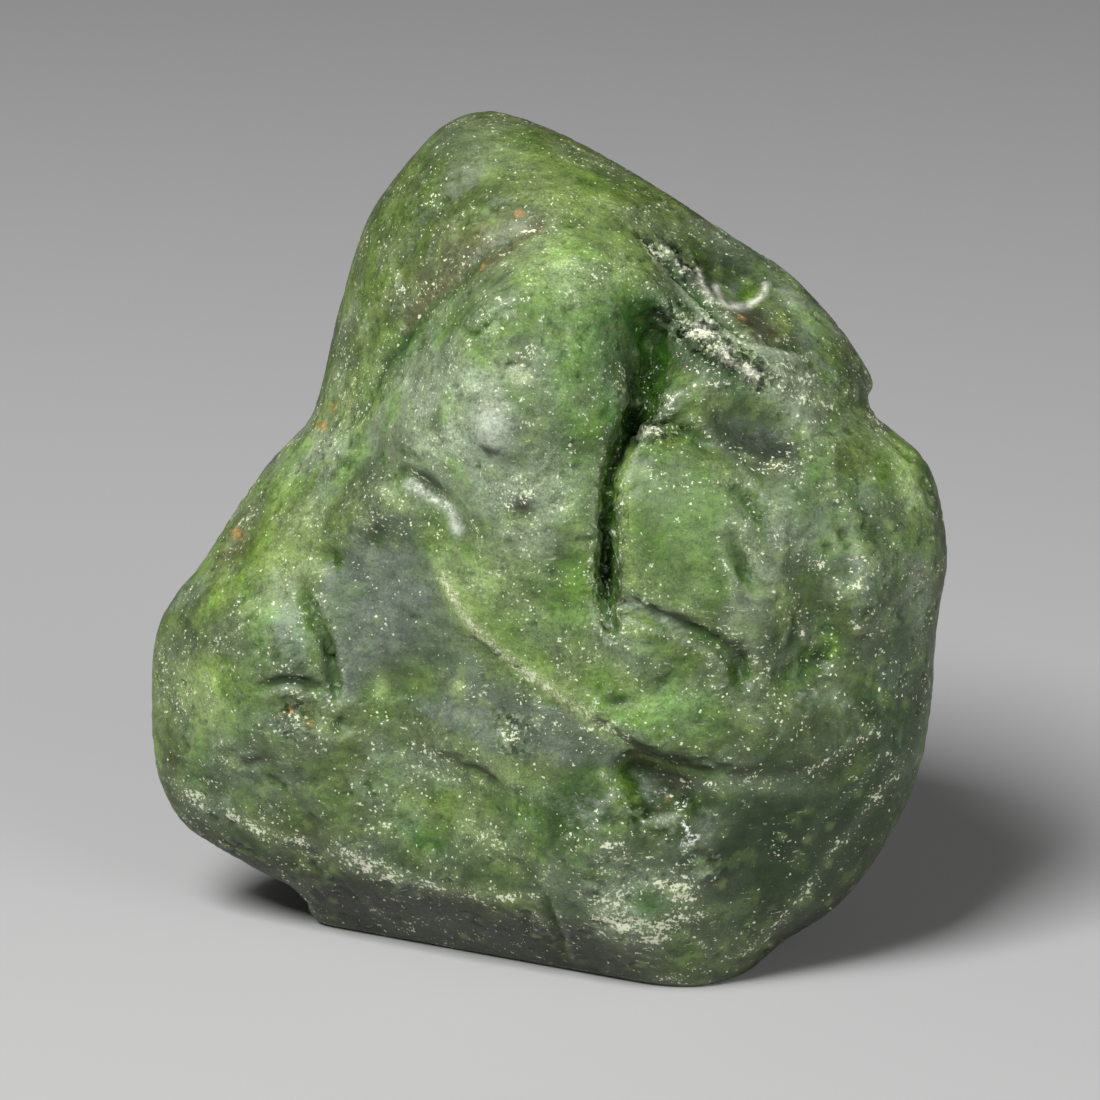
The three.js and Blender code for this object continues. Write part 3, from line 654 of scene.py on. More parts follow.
# Where they lie on the display face: at (x, z), size, turn, shade, strength, and the power of the edge
# where it isn't 2.
FRONT_PATCHES = [
    ("apex", (-3.2, 12), (6.5, 4.2), 0, "olive", 1, 4),
    ("apex tip", (-2.6, 14.2), (2.2, 0.9), -12, "jade", 0.5),
    ("apex yellow", (0.4, 12.5), (2.4, 1.3), -25, "lime", 0.9),
    ("apex low yellow", (-5.9, 8.8), (1.2, 1.6), 10, "lime", 0.6),
    ("apex left", (-4.9, 11.2), (1.3, 1.6), -20, "moss", 0.6),
    ("apex brown", (-2.6, 10.4), (1.9, 0.8), 30, "umber", 0.9),
    ("saddle brown", (-4.2, 8.9), (1.3, 0.9), 50, "umber", 0.7),
    ("saddle green", (-5, 7.2), (0.4, 1.8), -28, "vivid", 0.9),
    ("saddle bank", (-7, 5.6), (1.7, 1.2), 45, "lime", 0.8),
    ("dome", (-1.2, 4.8), (3.8, 5), 0, "jade", 0.9, 4),
    ("dome top", (0.9, 9.6), (2.3, 1.4), -10, "sprout", 1),
    ("dome crown", (-1.4, 8), (2.6, 1.2), 15, "grass", 0.9),
    ("dome middle", (-2.7, 5), (1.8, 2.2), -20, "haze", 0.9),
    ("dome left", (-4.9, 5.2), (1.1, 1.6), -35, "mist", 0.8),
    ("dome low left", (-2.9, 3.3), (1.1, 0.5), -35, "mist", 0.8),
    ("dome low", (-0.6, 1.6), (2, 1.6), -35, "mist", 0.9),
    # painted shade in a small chip
    ("dome chip", (-0.9, 1.9), (0.5, 0.4), 0, "shadow", 0.9),
    ("dome right", (1.3, 5), (1.1, 4.2), 4, "leaf", 0.9),
    ("cleft bank", (2.2, 3.4), (0.8, 4.6), 2, "vivid", 0.9),
    ("recess bank", (3.4, 7.4), (1.5, 1.7), -20, "emerald", 0.9, 3),
    ("plateau", (1, -3.4), (4.4, 3.2), -38, "moss", 0.9, 4),
    ("plateau pale", (-2.5, -0.8), (1.3, 1.2), -30, "sprout", 0.9),
    ("plateau low", (-1.3, -3), (1.2, 0.7), -38, "grass", 0.9),
    ("plateau vivid", (0.7, -0.9), (1.2, 1.8), -30, "leaf", 0.8),
    ("plateau grey", (3, -3.2), (1.1, 0.9), -30, "jade", 0.8),
    ("plateau foot", (2.2, -5.6), (1.5, 0.8), -30, "leaf", 0.8),
    ("plateau foot pale", (4.6, -4.9), (1.5, 1), 0, "leaf", 0.8),
    ("pillow", (4.4, 1.4), (2.1, 2.8), 6, "grass", 0.9, 4),
    ("pillow side", (6.4, -0.4), (0.9, 2), 10, "haze", 1),
    ("pillow low", (5, -1.2), (1.3, 0.8), 0, "moss", 0.6),
    ("pillow foot", (4.9, -2.9), (1.8, 0.7), -15, "olive", 0.7),
    ("green shelf", (5.2, 5.4), (1.4, 0.9), -25, "moss", 0.8),
    ("shelf head", (5.4, 6.4), (1.4, 0.4), -35, "emerald", 1),
    ("grey dish", (6.9, 4), (1.4, 0.8), -22, "iron", 1),
    ("crystal bank", (8, 6.2), (2.4, 0.7), -30, "mist", 0.7),
    ("bank low", (8.9, 4.9), (2, 0.6), -30, "mist", 0.7),
    ("right middle", (8.8, 1.4), (2.2, 1.9), 0, "jade", 0.9),
    ("right blotch", (9.9, 3.4), (1.3, 0.7), 20, "olive", 0.9),
    ("right dish", (11.1, 0.9), (0.8, 1), 0, "murk", 0.6),
    ("right knob", (12.2, 2.8), (0.6, 1.6), 10, "sprout", 0.8),
    ("right knob side", (11.4, 2.6), (0.4, 1.3), 0, "vivid", 0.9),
    ("right rim", (12.3, -1.4), (0.9, 1.6), 0, "haze", 0.8),
    ("right valley", (8.6, -3.2), (2.4, 1.9), 20, "bottle", 0.9),
    ("right low", (11.9, -4.6), (1.5, 3), 0, "forest", 1),
    ("lower right", (8.4, -9.6), (5.2, 4.2), 20, "forest", 1, 4),
    # painted shade in the lower pit
    ("lower pit", (4, -8.8), (1.5, 1.2), -18, "murk", 0.9, 3),
    ("pit side", (6, -8.6), (1.2, 1), 0, "forest", 0.9),
    ("lower lobe", (3.6, -11.8), (2, 1.6), 10, "bottle", 1),
    ("upper right bowl", (6.9, 9.4), (2.4, 1.2), -38, "murk", 1, 4),
    ("bowl floor", (6.4, 9.5), (1.3, 0.8), -38, "forest", 0.8, 3),
    # painted shade in the recess and down the cleft
    ("recess", (3.3, 6.4), (1, 2.2), -4, "deep", 1, 3),
    ("recess foot", (2.5, 3.7), (0.7, 1.3), -15, "deep", 0.9),
    ("cleft foot", (2, -0.3), (0.5, 2.4), 0, "deep", 0.9, 3),
    ("upper right rim", (8.6, 8.6), (1.6, 0.5), -42, "mist", 0.9),
    # the facet's grey is partly its own colour and partly painted sheen
    ("grey facet", (-5.2, -1.8), (3.2, 2.5), -38, "slate", 1, 4),
    # painted shade below the plateau's edge
    ("grey facet foot", (-1.6, -5.2), (3.4, 1.1), -36, "murk", 0.7, 4),
    ("facet green", (-5, -5.2), (2.8, 1.2), -20, "olive", 0.6),
    ("facet fleck", (-5.8, -4.35), (0.35, 0.35), 0, "sprout", 1),
    ("facet yellow", (-1.2, -7.2), (1.3, 0.7), -20, "lime", 0.7),
    ("low facet", (-2.6, -8.8), (3.2, 1.3), -12, "moss", 0.7),
    ("low facet vivid", (-4.2, -9.9), (1.8, 0.6), -15, "emerald", 0.9),
    ("lower middle", (1.2, -8.4), (1.8, 1.4), 0, "emerald", 0.8),
    ("left bank", (-9.6, 0), (2.8, 2), 48, "lime", 0.9, 3),
    ("left bank grey", (-9.4, -2.6), (1.2, 1.8), 10, "teal", 0.5),
    ("left rim", (-8.6, 3.6), (1.6, 0.9), 45, "haze", 0.7),
    ("left rim dark", (-11, 0.5), (0.4, 1.2), -40, "umber", 0.9),
    ("left shoulder", (-12, -4.6), (1.7, 1.6), 0, "fern", 0.8),
    ("left cross", (-10, -5.5), (1.5, 0.6), -10, "slate", 0.9),
    ("left low", (-10.4, -7.2), (2.8, 1), -25, "jade", 0.9),
    ("left low green", (-8.4, -9.4), (2.2, 0.6), -25, "olive", 0.9),
    ("left rim low", (-13.2, -6.6), (0.5, 1.6), 0, "olive", 0.9),
    # painted shade on the underside, which looks down
    ("underside", (-2.6, -13.6), (6.6, 1.7), -16, "shadow", 1, 6),
    ("underside left", (-7.2, -12), (1.6, 1.2), -30, "shadow", 1, 4),
]

# Zones of one shade with crisp borders: shade, strength, softness and an anticlockwise border of (x, z).
ZONES = [
    # the facet's grey is partly its own colour and partly painted sheen
    ("slate facet", "slate", 1, 0.25, [(-7.9, -0.9), (-8, -4.3), (-7.1, -4.8), (-5.1, -4.9),
     (-2.7, -6.1), (-1, -6.6), (0.9, -6.9), (2.6, -6.6), (1.6, -4.6), (-1.4, -2.6), (-2.8, -0.6),
     (-4.6, 0.3), (-6.9, 0.1)]),
    ("pillow", "grass", 0.6, 0.2, [(2.3, 2.6), (2.4, -0.9), (3.6, -1.6), (5.4, -1.7), (6.2, -0.6),
     (6.3, 1.2), (5.7, 2.8), (4.7, 3.7), (3.4, 3.9), (2.6, 3.6)]),
]

# Marks that lie on the zones, in the same columns as the patches.
MARKS = [
    # painted shade below the plateau's edge
    ("facet foot", (-1.6, -5.2), (2, 0.8), -38, "murk", 0.8),
    ("facet green", (-4.6, -4.2), (1.6, 0.5), -15, "olive", 0.6),
    ("facet fleck", (-5.8, -4.35), (0.35, 0.35), 0, "sprout", 0.9),
    ("facet flecks", (-3.2, -4.3), (0.25, 0.25), 0, "sprout", 0.8),
    # painted shade in pits: the dome chip, the left pit and the two small pits
    ("dome chip", (-0.85, 1.9), (0.45, 0.35), 0, "shadow", 0.9),
    ("left pit", (-7.9, -6.2), (0.4, 0.3), 0, "shadow", 0.9),
    ("small pit one", (-5.95, 0.8), (0.5, 0.3), 35, "forest", 0.95, 3),
    ("small pit two", (-7.45, 0.15), (0.35, 0.4), 0, "forest", 0.95, 3),
    ("facet chips", (-1.3, -5.3), (0.9, 0.3), -38, "forest", 0.7, 3),
    ("right teal", (11.8, -4.6), (0.9, 2.2), 0, "teal", 0.3),
    ("apex", (-3.2, 12), (1.4, 1.2), 0, "olive", 0.5),
    ("apex brown", (-2.6, 10.4), (1.6, 0.6), 30, "umber", 0.5),
    # painted shade in grooves: the pillow's side groove and the valley
    ("pillow side", (6.6, 0.4), (0.2, 1), 10, "deep", 0.5),
    ("valley", (6.3, -3.5), (0.4, 0.7), 0, "forest", 0.9),
    ("valley right", (7.6, -2.9), (0.9, 0.4), 40, "forest", 0.8),
    ("bowl", (6.5, 8.9), (2.2, 0.9), -38, "iron", 0.8, 4),
    # painted shade in the bowl's foot
    ("bowl foot", (6.9, 8), (1.4, 0.6), -32, "earth", 1, 4),
    ("bowl floor", (6.9, 9.1), (0.5, 0.4), -25, "vivid", 0.9, 3),
    # painted glint inside the bowl
    ("bowl glint", (6.15, 9.15), (0.35, 0.3), 30, "slate", 0.9, 3),
    ("bowl right", (7.9, 8.2), (0.6, 0.4), -60, "apple", 0.8, 3),
    # painted shade along the dome's edge at the bowl's head
    ("bowl head", (4.8, 9.7), (1.2, 0.35), -58, "shadow", 1, 3),
    ("recess head", (3.1, 8), (1.5, 1.1), 0, "emerald", 1, 3),
    # painted shade: the dark hole in the recess
    ("recess hole", (2.85, 5.75), (0.45, 0.95), -8, "shadow", 0.9, 3),
    ("recess left", (2.1, 5.8), (0.45, 2.2), 4, "emerald", 0.9, 3),
    ("cleft left", (1.35, 1.2), (0.4, 2.4), 0, "vivid", 0.8),
    # painted shade along the shelf's upper edge
    ("shelf edge", (5.4, 6.55), (1.9, 0.45), -25, "deep", 1, 4),
    ("grey dish", (6.8, 4.1), (1.5, 0.85), -20, "iron", 1, 4),
    ("dish foot", (9, 3.2), (0.4, 0.8), -15, "leaf", 0.6),
    # painted shade in the pillow's fork
    ("fork", (5.6, -0.6), (0.25, 0.9), 10, "deep", 0.7),
    ("waist", (9.8, 5), (0.35, 0.9), -30, "vivid", 0.8),
    # painted light: lifts the shaded band under the plateau's edge
    ("edge foot", (3.1, -6.5), (1.6, 0.3), -28, "fern", 0.8),
    # painted shade in the lower pit, and painted glints on its facets
    ("pit", (4.2, -8.6), (2, 1.3), -20, "forest", 0.95, 4),
    ("pit shade", (4.1, -7.5), (1.3, 0.45), -8, "shadow", 1, 3),
    ("pit left facet", (3.4, -7.8), (0.35, 0.45), 20, "slate", 0.9, 4),
    ("pit facet", (3.9, -8.8), (0.6, 0.22), 10, "haze", 0.9, 4),
    ("pit right facet", (5.2, -9), (0.45, 0.35), -20, "slate", 0.7, 4),
    ("pit low facet", (5.1, -10.6), (0.35, 0.2), 10, "haze", 0.9, 4),
    # painted light: lifts the shade under the plateau's lower right edge
    ("under the lobe", (7.4, -7.6), (2, 0.35), -3, "jade", 0.6),
    ("under the ridge", (-3.4, -10.6), (3.2, 0.45), -12, "bottle", 0.8, 3),
    ("lobe crust", (3.1, -11.8), (1.7, 1.3), 10, "haze", 0.6, 4),
    ("lobe window", (3.5, -11.6), (0.8, 0.5), -20, "emerald", 0.95, 3),
    ("lobe low window", (4.1, -12.4), (0.5, 0.3), -20, "emerald", 0.8, 3),
    # painted shade in the right dish
    ("right blotch", (11, 1), (0.5, 0.5), 0, "shadow", 0.5),
    ("lower middle", (1.1, -8.4), (1.5, 1.1), 20, "forest", 0.7, 3),
    ("saddle green", (-5, 7.3), (0.35, 1.2), -28, "emerald", 0.9, 3),
    ("saddle foot", (-5.9, 5.6), (0.25, 1.2), -35, "vivid", 0.7, 3),
    ("ledge chalk", (5.25, 7.85), (0.55, 0.35), -40, "chalk", 1, 4),
    ("ledge low chalk", (5.9, 6.95), (0.55, 0.25), -50, "chalk", 1, 4),
    ("ledge foot chalk", (6.7, 6.3), (0.4, 0.2), -35, "chalk", 0.9, 4),
    ("cleft chalk", (3.25, 4.4), (0.35, 0.3), 0, "chalk", 0.9, 4),
    ("bowl chalk", (3.9, 10.5), (0.45, 0.3), -20, "pale", 0.9, 4),
    ("dome chalk", (-1, 6.2), (0.5, 0.35), -30, "pale", 0.7, 4),
]

# The shades that end at the plateau's edge, on either side of it.
PLATEAU_EDGE = [
    (-3.9, -0.4), (-3.2, -1.7), (-2.3, -2.8), (-1.1, -3.8), (0.3, -4.85), (1.5, -5.65), (2.4, -6.2),
    (3.4, -6.8),
]
ABOVE_EDGE = ("plateau", "plateau pale", "plateau low", "plateau vivid", "plateau foot", "dome low")
BELOW_EDGE = ("grey facet", "grey facet foot", "facet yellow", "lower middle", "slate facet")

# Iron stain: at (x, z) and size.
STAINS = [
    ((-1.05, 11.7), 0.25), ((-0.3, 11.1), 0.16), ((-2.3, 9.9), 0.2), ((-8, 4.7), 0.3),
    ((-7.6, 5.3), 0.2), ((-10.9, 0.9), 0.28), ((6.5, 8.3), 0.16), ((4.1, -8.1), 0.16),
    ((-8.9, -5.1), 0.25), ((-8.2, -5.5), 0.18),
]

# Pale frosted skin on the display face: at (x, z), size, turn, strength.
FRONT_FROST = [
    ("lower lobe", (3.4, -11.8), (2.1, 1.5), 10, 1),
    ("lower lobe left", (2.2, -10.2), (0.8, 1), 0, 0.6),
    ("crystal ledge", (5.3, 7.5), (1.5, 0.4), -42, 1),
    ("cleft crystals", (3.4, 4.3), (0.6, 0.4), 0, 1),
    ("dome top", (0.9, 9.7), (2, 1), -15, 0.45),
    ("dome flank", (-0.7, 6.4), (1, 0.9), -30, 0.4),
    ("dome low", (-0.9, 2.2), (0.9, 1.3), -20, 0.6),
    ("dome middle", (-2.8, 4.2), (1.6, 1.6), 0, 0.35),
    ("grey dish rim", (7.6, 3.2), (1.3, 0.3), -22, 0.7),
    ("grey dish head", (6.4, 4.8), (1, 0.4), -22, 0.5),
    ("right waist", (11.2, 5.3), (0.7, 0.8), -30, 0.8),
    ("crystal bank", (8.2, 6.2), (2.2, 0.8), -35, 0.5),
    ("right middle", (9, -0.2), (0.9, 0.5), -30, 0.5),
    ("facet foot", (-1.1, -5.7), (1, 0.5), -36, 0.6),
    ("facet low", (-4, -7), (1.3, 0.6), -15, 0.5),
    ("left cross", (-9.3, -5.6), (0.9, 0.4), -15, 0.6),
    ("left rim", (-12.4, -8.2), (1.4, 0.5), -35, 0.7),
    ("underside ridge left", (-10.6, -9), (1.5, 0.4), -28, 0.8),
    ("underside ridge", (-6.3, -10.6), (1.9, 0.4), -25, 0.9),
    ("underside ridge right", (-2.6, -11.4), (1.8, 0.4), -8, 0.5),
    ("underside", (-3, -13.4), (3.4, 1), -20, 0.4),
    ("bowl head", (3.9, 10.6), (0.7, 0.4), -35, 0.8),
    ("apex", (-0.6, 12.6), (2.8, 1), -20, 0.3),
    ("saddle", (-6.4, 6), (0.8, 2), -40, 0.4),
]

# Clear windows in that skin: at (x, z), size, turn, strength.
FROST_GAPS = [
    ("lobe window", (3.5, -11.6), (0.8, 0.5), -20, 0.9),
    ("grey dish", (6.8, 4.1), (1.3, 0.7), -20, 0.8),
    ("dome chip", (-0.85, 1.9), (0.4, 0.3), 0, 0.9),
    ("slate facet", (-4.6, -2.2), (2.4, 1.6), -38, 0.6),
]

PLATEAU_BROW = [(-3.7, -0.4), (-3.05, -1.6), (-2.15, -2.65), (-1, -3.65), (0.45, -4.7), (1.6, -5.5)]

# Lines of pecks on the display face: width, strength and a path of (x, z).
PECK_LINES = [
    ("plateau edge", 0.2, 0.9, PLATEAU_BROW + [(2.6, -6.05)]),
    ("plateau edge right", 0.25, 0.6, [(3.6, -7.3), (5.25, -7.6), (7, -7.5), (9, -7), (11, -5.8)]),
    ("lower right contour", 0.25, 0.6, [(7, -13.2), (8.6, -11.6), (9.4, -10.2), (10.8, -8.6),
     (12, -7)]),
    ("second contour", 0.2, 0.4, [(8.8, -9.6), (9.3, -8.6), (10.4, -7.8), (11.4, -6.4)]),
    ("foot contour", 0.22, 0.5, [(1.6, -14.6), (4.6, -14.2), (6.6, -13.4), (8.2, -12.3)]),
    ("underside ridge", 0.25, 0.7, [(-12.9, -8.2), (-10.4, -9.3), (-8, -10), (-5.6, -10.9),
     (-3, -11.5), (0, -11.6)]),
    ("underside scratch", 0.16, 0.5, [(-6.2, -12.2), (-4.6, -13.2), (-2.6, -13.7), (-0.6, -14.4)]),
    ("left shoulder", 0.2, 0.4, [(-8, 2.6), (-7.2, 4.2), (-6, 5.8), (-4.6, 7.4), (-3.2, 8.8)]),
    ("crystal line", 0.16, 0.8, [(6, 7.3), (7, 6.4), (8.4, 5.6), (9.6, 5.2)]),
    ("bowl rim", 0.2, 0.5, [(3.4, 10.8), (5.2, 9.4), (6.6, 7.6), (8.2, 7.6)]),
    ("groove rim", 0.16, 0.8, [(-4.7, 3), (-3.9, 2.5), (-3.4, 1.8)]),
]

# Streaks of one shade on the display face: width, shade, strength and a path of (x, z).
STREAKS = [
    # Painted light: the plateau's raised edge is drawn pale, as where it catches the light.
    ("plateau edge", 0.4, "fern", 0.8, PLATEAU_BROW),
    ("plateau brow", 0.15, "pale", 0.9, PLATEAU_BROW),
    # painted shade under the plateau's edge
    ("under the edge", 0.45, "murk", 0.8, [(-1.3, -4.6), (0, -5.5), (1, -6.1), (2, -6.7)]),
    # painted highlight on the curved groove's wall
    ("groove wall", 0.2, "frosted", 1, [(-4.65, 2.56), (-3.9, 2.2), (-3.4, 1.8), (-3.2, 1.1)]),
    ("pillow edge", 0.25, "fern", 0.6, [(2.7, 3.6), (2.5, 2.2), (2.55, 0.6), (2.7, -0.7)]),
    ("pillow foot", 0.18, "frosted", 0.7, [(2.4, -1.4), (3.4, -1.7), (4.4, -2.2)]),
    ("ledge crest", 0.28, "haze", 0.9, [(4.3, 9.9), (4.9, 9), (5.9, 8), (6.9, 7.2), (8.2, 6.9)]),
    # painted highlights on the glassy upper right bowl
    ("bowl crescent", 0.1, "chalk", 1, [(7.45, 9.5), (7.3, 9), (6.9, 8.7), (6.4, 8.65), (5.9, 8.9),
     (5.75, 9.4)]),
    ("bowl rim", 0.08, "chalk", 0.9, [(5.15, 10), (5.25, 9.5), (5.5, 9)]),
    ("saddle line", 0.22, "umber", 0.9, [(-4.9, 7.9), (-4.1, 9.1), (-2.9, 9.8), (-1.7, 10.3),
     (-0.3, 11.4)]),
    ("left crease bank", 0.25, "vivid", 0.9, [(-8.6, -1.2), (-8.2, -2.6), (-7.9, -4.6)]),
]

# Freshly broken, wet-looking hollows, and places where broken crystal glints: at (x, z), size, turn,
# strength.
FRONT_GLOSS = [
    ("glossy bump", (-1.95, 4.45), (0.55, 0.7), 0, 0.9),
    ("curved groove", (-3.7, 2.1), (1.1, 0.35), -45, 0.7),
    ("upper right bowl", (7, 9.5), (1.9, 1), -38, 1),
    ("bowl head", (5, 10.6), (0.7, 0.6), -30, 0.8),
    ("recess", (3.4, 6.2), (0.9, 2), 0, 0.9),
    ("cleft", (2.1, 0.2), (0.4, 2.4), 0, 0.9),
    ("lower pit", (4.2, -8.6), (1.5, 1.1), -25, 0.9),
    ("lower pit right", (5.1, -10.2), (0.7, 0.6), 20, 0.8),
    ("pillow foot", (6.3, -3.5), (0.5, 0.7), 0, 0.7),
    ("pillow tip", (5.9, 2.6), (0.25, 0.25), 0, 0.9),
    ("right dish", (11.1, 0.9), (0.7, 0.8), 0, 0.6),
]
FRONT_CRYSTALS = [
    ("crystal ledge", (4.9, 7.9), (1.1, 0.5), -42, 1),
    ("recess wall", (5.7, 7.1), (1, 0.4), -42, 1),
    ("ledge foot", (6.7, 6.3), (0.7, 0.3), -35, 0.9),
    ("cleft crystals", (3.5, 4.4), (0.7, 0.4), 0, 1),
    ("recess floor", (3.1, 5.2), (0.5, 1.2), 0, 0.4),
    ("cleft", (2, 0.2), (0.4, 2.6), 0, 0.4),
    ("lower pit", (3.8, -8.6), (1.1, 0.7), 10, 0.4),
    ("lower pit right", (5.1, -10.4), (0.7, 0.4), -10, 0.4),
    ("facet foot", (-1.2, -5.8), (0.9, 0.4), -36, 0.4),
    ("bowl head", (4.2, 10.4), (1, 0.4), -35, 0.7),
    ("left cross", (-8.7, -5.3), (0.7, 0.4), 0, 0.6),
]

# Calm, evenly worn ground on the display face: at (x, z), size, turn, strength.
FRONT_CALM = [
    ("grey facet", (-5, -2.2), (3.6, 2.8), -38, 0.9),
    ("grey facet foot", (-2, -5.6), (3.6, 1.6), -36, 0.7),
    ("pillow", (4.4, 1.2), (2.2, 2.6), 6, 0.8),
    ("lower right", (8.8, -9.4), (4.2, 3.6), 20, 0.8),
    ("underside", (-3, -13.4), (6, 1.8), -15, 0.3),
    ("apex tip", (-2.4, 14.2), (3, 1.4), -12, 0.6),
    ("groove wall", (-3.8, 2), (1.2, 0.45), -48, 1),
]


def linear(shade):
    """A shade of 0 to 255 as linear light."""
    share = np.array(SHADES[shade]) / 255
    return np.where(share > 0.04045, ((share + 0.055) / 1.055) ** 2.4, share / 12.92)


def cover(place, rows):
    """How far soft patches cover each place."""
    covered = np.zeros(len(place))
    for _, at, size, turn, strength in rows:
        covered = np.maximum(covered, strength * patch(place, at, size, turn, COVER_EDGE))
    return covered


def blend(colours, shade, share):
    return colours + (linear(shade) - colours) * np.clip(share, 0, 1)[:, None]


def turned_to(colours, shade, share):
    """Colours turned towards a shade, each as bright as it was."""
    goal = linear(shade)
    same = (colours @ BRIGHTNESS)[:, None] * goal / (goal @ BRIGHTNESS)
    return colours + (same - colours) * np.clip(share, 0, 1)[:, None]


# ---- Shape the stone ----
bpy.ops.mesh.primitive_ico_sphere_add(subdivisions=BALL_SPLITS, radius=1)
ball = bpy.context.object
direction = numbers(ball.data.vertices, "co")
direction /= np.linalg.norm(direction, axis=1)[:, None]
shaped, source_depth = surface(direction)
source = rest(shaped)
mesh, corners = even_mesh(source, ball)
bpy.data.objects.remove(ball)
mesh.name = NODE

points = numbers(mesh.vertices, "co")
depth = carried(points, corners, source, source_depth)
polar = carried(points, corners, source, np.degrees(np.arccos(np.clip(-direction[:, 1], -1, 1))))
front = 1 - smoothstep(RIM_ANGLE + RIM_FADE[0], RIM_ANGLE + RIM_FADE[1], polar)
smoother = Smoother(mesh)

# Where each corner shows on the display face, and how far noise carries it from there.
seen = ((points - [0, 0, FLOOR_DROP]) @ LEANING)[:, [0, 2]]
strayed = np.stack([field(points, "stray x"), field(points, "stray z")], 1)


def astray(kind):
    return seen + STRAY[kind] * strayed


def line_share(kind, width, strength, path):
    """How strongly a line on the display face covers each corner."""
    share = np.zeros(len(points))
    near, distance, _, _ = along(path, astray(kind), LINE_REACH)
    share[near] = strength * np.exp(-((distance / width) ** 2)) * front[near]
    return share


# ---- Its fine relief, along the normals ----
frost = front * cover(astray("frost"), FRONT_FROST)
for _, *line in PECK_LINES:
    frost = np.maximum(frost, line_share("peck lines", *line))
gloss = front * cover(astray("gloss"), FRONT_GLOSS)
crystal = front * cover(astray("frost"), FRONT_CRYSTALS)
on_bump = front * patch(seen, *GLOSSY_BUMP, BUMP_EDGE)
calm = np.maximum(front * cover(seen, FRONT_CALM), on_bump)
crease = np.zeros(len(points))
for _, path in CREASES:
    crease += front * groove_depth(astray("creases"), CREASE_EDGE, path)

rough = 1 - CALM_RELIEF * np.maximum(calm, CALM_GLOSS * gloss)
terraces = TERRACES * field(points, "terraces")
steps = np.floor(terraces) + onset("step riser", terraces % 1)
relief = LUMP_HEIGHT * rough * field(points, "lumps") + STEP_HEIGHT * rough * (steps - terraces)
relief -= CHIP_DEPTH * rough * onset("chips", field(points, "chips")) + crease
relief += CRUST_HEIGHT * np.maximum(frost, crystal) * field(points, "crust")
relief += CRYSTAL_HEIGHT * crystal * np.abs(field(points, "crystals"))
relief += WALL_HEIGHT * onset("cleft walls", depth) * field(points, "cleft walls")
relief += WET_HEIGHT * gloss * field(points, "wet hollows") * (1 - on_bump)
relief += on_bump * (BUMP_HEIGHT + (seen - GLOSSY_BUMP[0]) @ BUMP_SLOPE)
relief *= onset("off the floor", points[:, 2])
points += relief[:, None] * corner_normals(mesh)
mesh.vertices.foreach_set("co", points.ravel())

# ---- Hollows and ridges, from how far each corner lies under the evened-out ground ----
normals = corner_normals(mesh)
near_even = smoother(points, NEAR_TIMES)
wide_even = smoother(near_even, WIDE_TIMES)
fine_hollow = ((near_even - points) * normals).sum(1)
wide_hollow = ((wide_even - points) * normals).sum(1)

# ---- Its colours ----
hue = field(points, "hue")
tint = np.tile(linear("olive"), (len(points), 1))
tint = blend(tint, "jade", onset("jade ground", hue))
tint = blend(tint, "moss", onset("moss ground", -hue))
tint = blend(tint, "bottle", onset("dark ground", field(points, "dark ground")))

edge_side = np.zeros(len(points))
near, distance, side, _ = along(PLATEAU_EDGE, astray("plateau edge"), EDGE_REACH)
edge_side[near] = side * onset("plateau edge", distance)
above = onset("side of the edge", 0.5 + edge_side)
below = onset("side of the edge", 0.5 - edge_side)


def at_edge(name, share):
    """A share that ends at the plateau's edge if its shade does."""
    if name in ABOVE_EDGE:
        return share * above
    return share * below if name in BELOW_EDGE else share


for name, at, size, turn, shade, strength, *edge in FRONT_PATCHES:
    wandering = min(MOST_STRAY, STRAY["patches"] * min(size))
    share = front * strength * patch(seen + wandering * strayed, at, size, turn, *edge)
    tint = blend(tint, shade, at_edge(name, share))
for name, shade, strength, soft, border in ZONES:
    near, distance, side, _ = along(border + border[:1], astray("zones"), ZONE_REACH)
    share = np.zeros(len(points))
    share[near] = strength * front[near] * smoothstep(-soft, soft, side * distance)
    tint = blend(tint, shade, at_edge(name, share))
# Painted shade and painted glow: wide hollows and the cleft turn a darker, more saturated green.
tint = blend(tint, "vivid", onset("hollow", wide_hollow))
tint = blend(tint, "emerald", onset("cleft", depth) + onset("deep hollow", wide_hollow))
for _, at, size, turn, shade, strength, *edge in MARKS:
    tint = blend(tint, shade, front * strength * patch(astray("marks"), at, size, turn, *edge))

evenness = 1 - CALM_TINT * calm
tint *= np.exp(MOTTLING * evenness * field(points, "mottling"))[:, None]
dryness = field(points, "dryness")
dry = evenness * onset("dry", dryness)
tint = turned_to(tint, "mist", DRY_TINT * dry)
tint = turned_to(tint, "vivid", CLEAR_TINT * evenness * onset("clear", -dryness))
tint = blend(tint, "fern", evenness * onset("pale clouds", field(points, "pale clouds")))
tint = blend(tint, "bottle", evenness * onset("dark clouds", field(points, "dark clouds")))
for _, width, shade, strength, path in STREAKS:
    tint = blend(tint, shade, line_share("streaks", width, strength, path))
# Painted highlight: the polished bump is coloured pale, as it reflects the light.
tint = blend(tint, "frosted", front * patch(seen, *GLOSSY_BUMP, BUMP_HIGHLIGHT_EDGE))
for at, size in STAINS:
    stain = patch(astray("stains"), at, (STAIN_SHAPE[0] * size, STAIN_SHAPE[1] * size), 0, STAIN_EDGE)
    tint = blend(tint, "rust", STAIN_TINT * front * stain)
# Painted shade: the cleft floor, fine hollows and creases are darkened to the deep shade.
tint = blend(tint, "deep", onset("cleft floor", depth))
tint = blend(tint, "deep", onset("fine hollow", fine_hollow) + onset("crease", crease))
# Painted shade: faces that look down are darkened towards the shadow shade.
facing_down = onset("facing down", -normals[:, 2])
tint = blend(tint, "shadow", SHADOW_TINT * facing_down)
tint = blend(tint, "mist", onset("ridge", -fine_hollow))

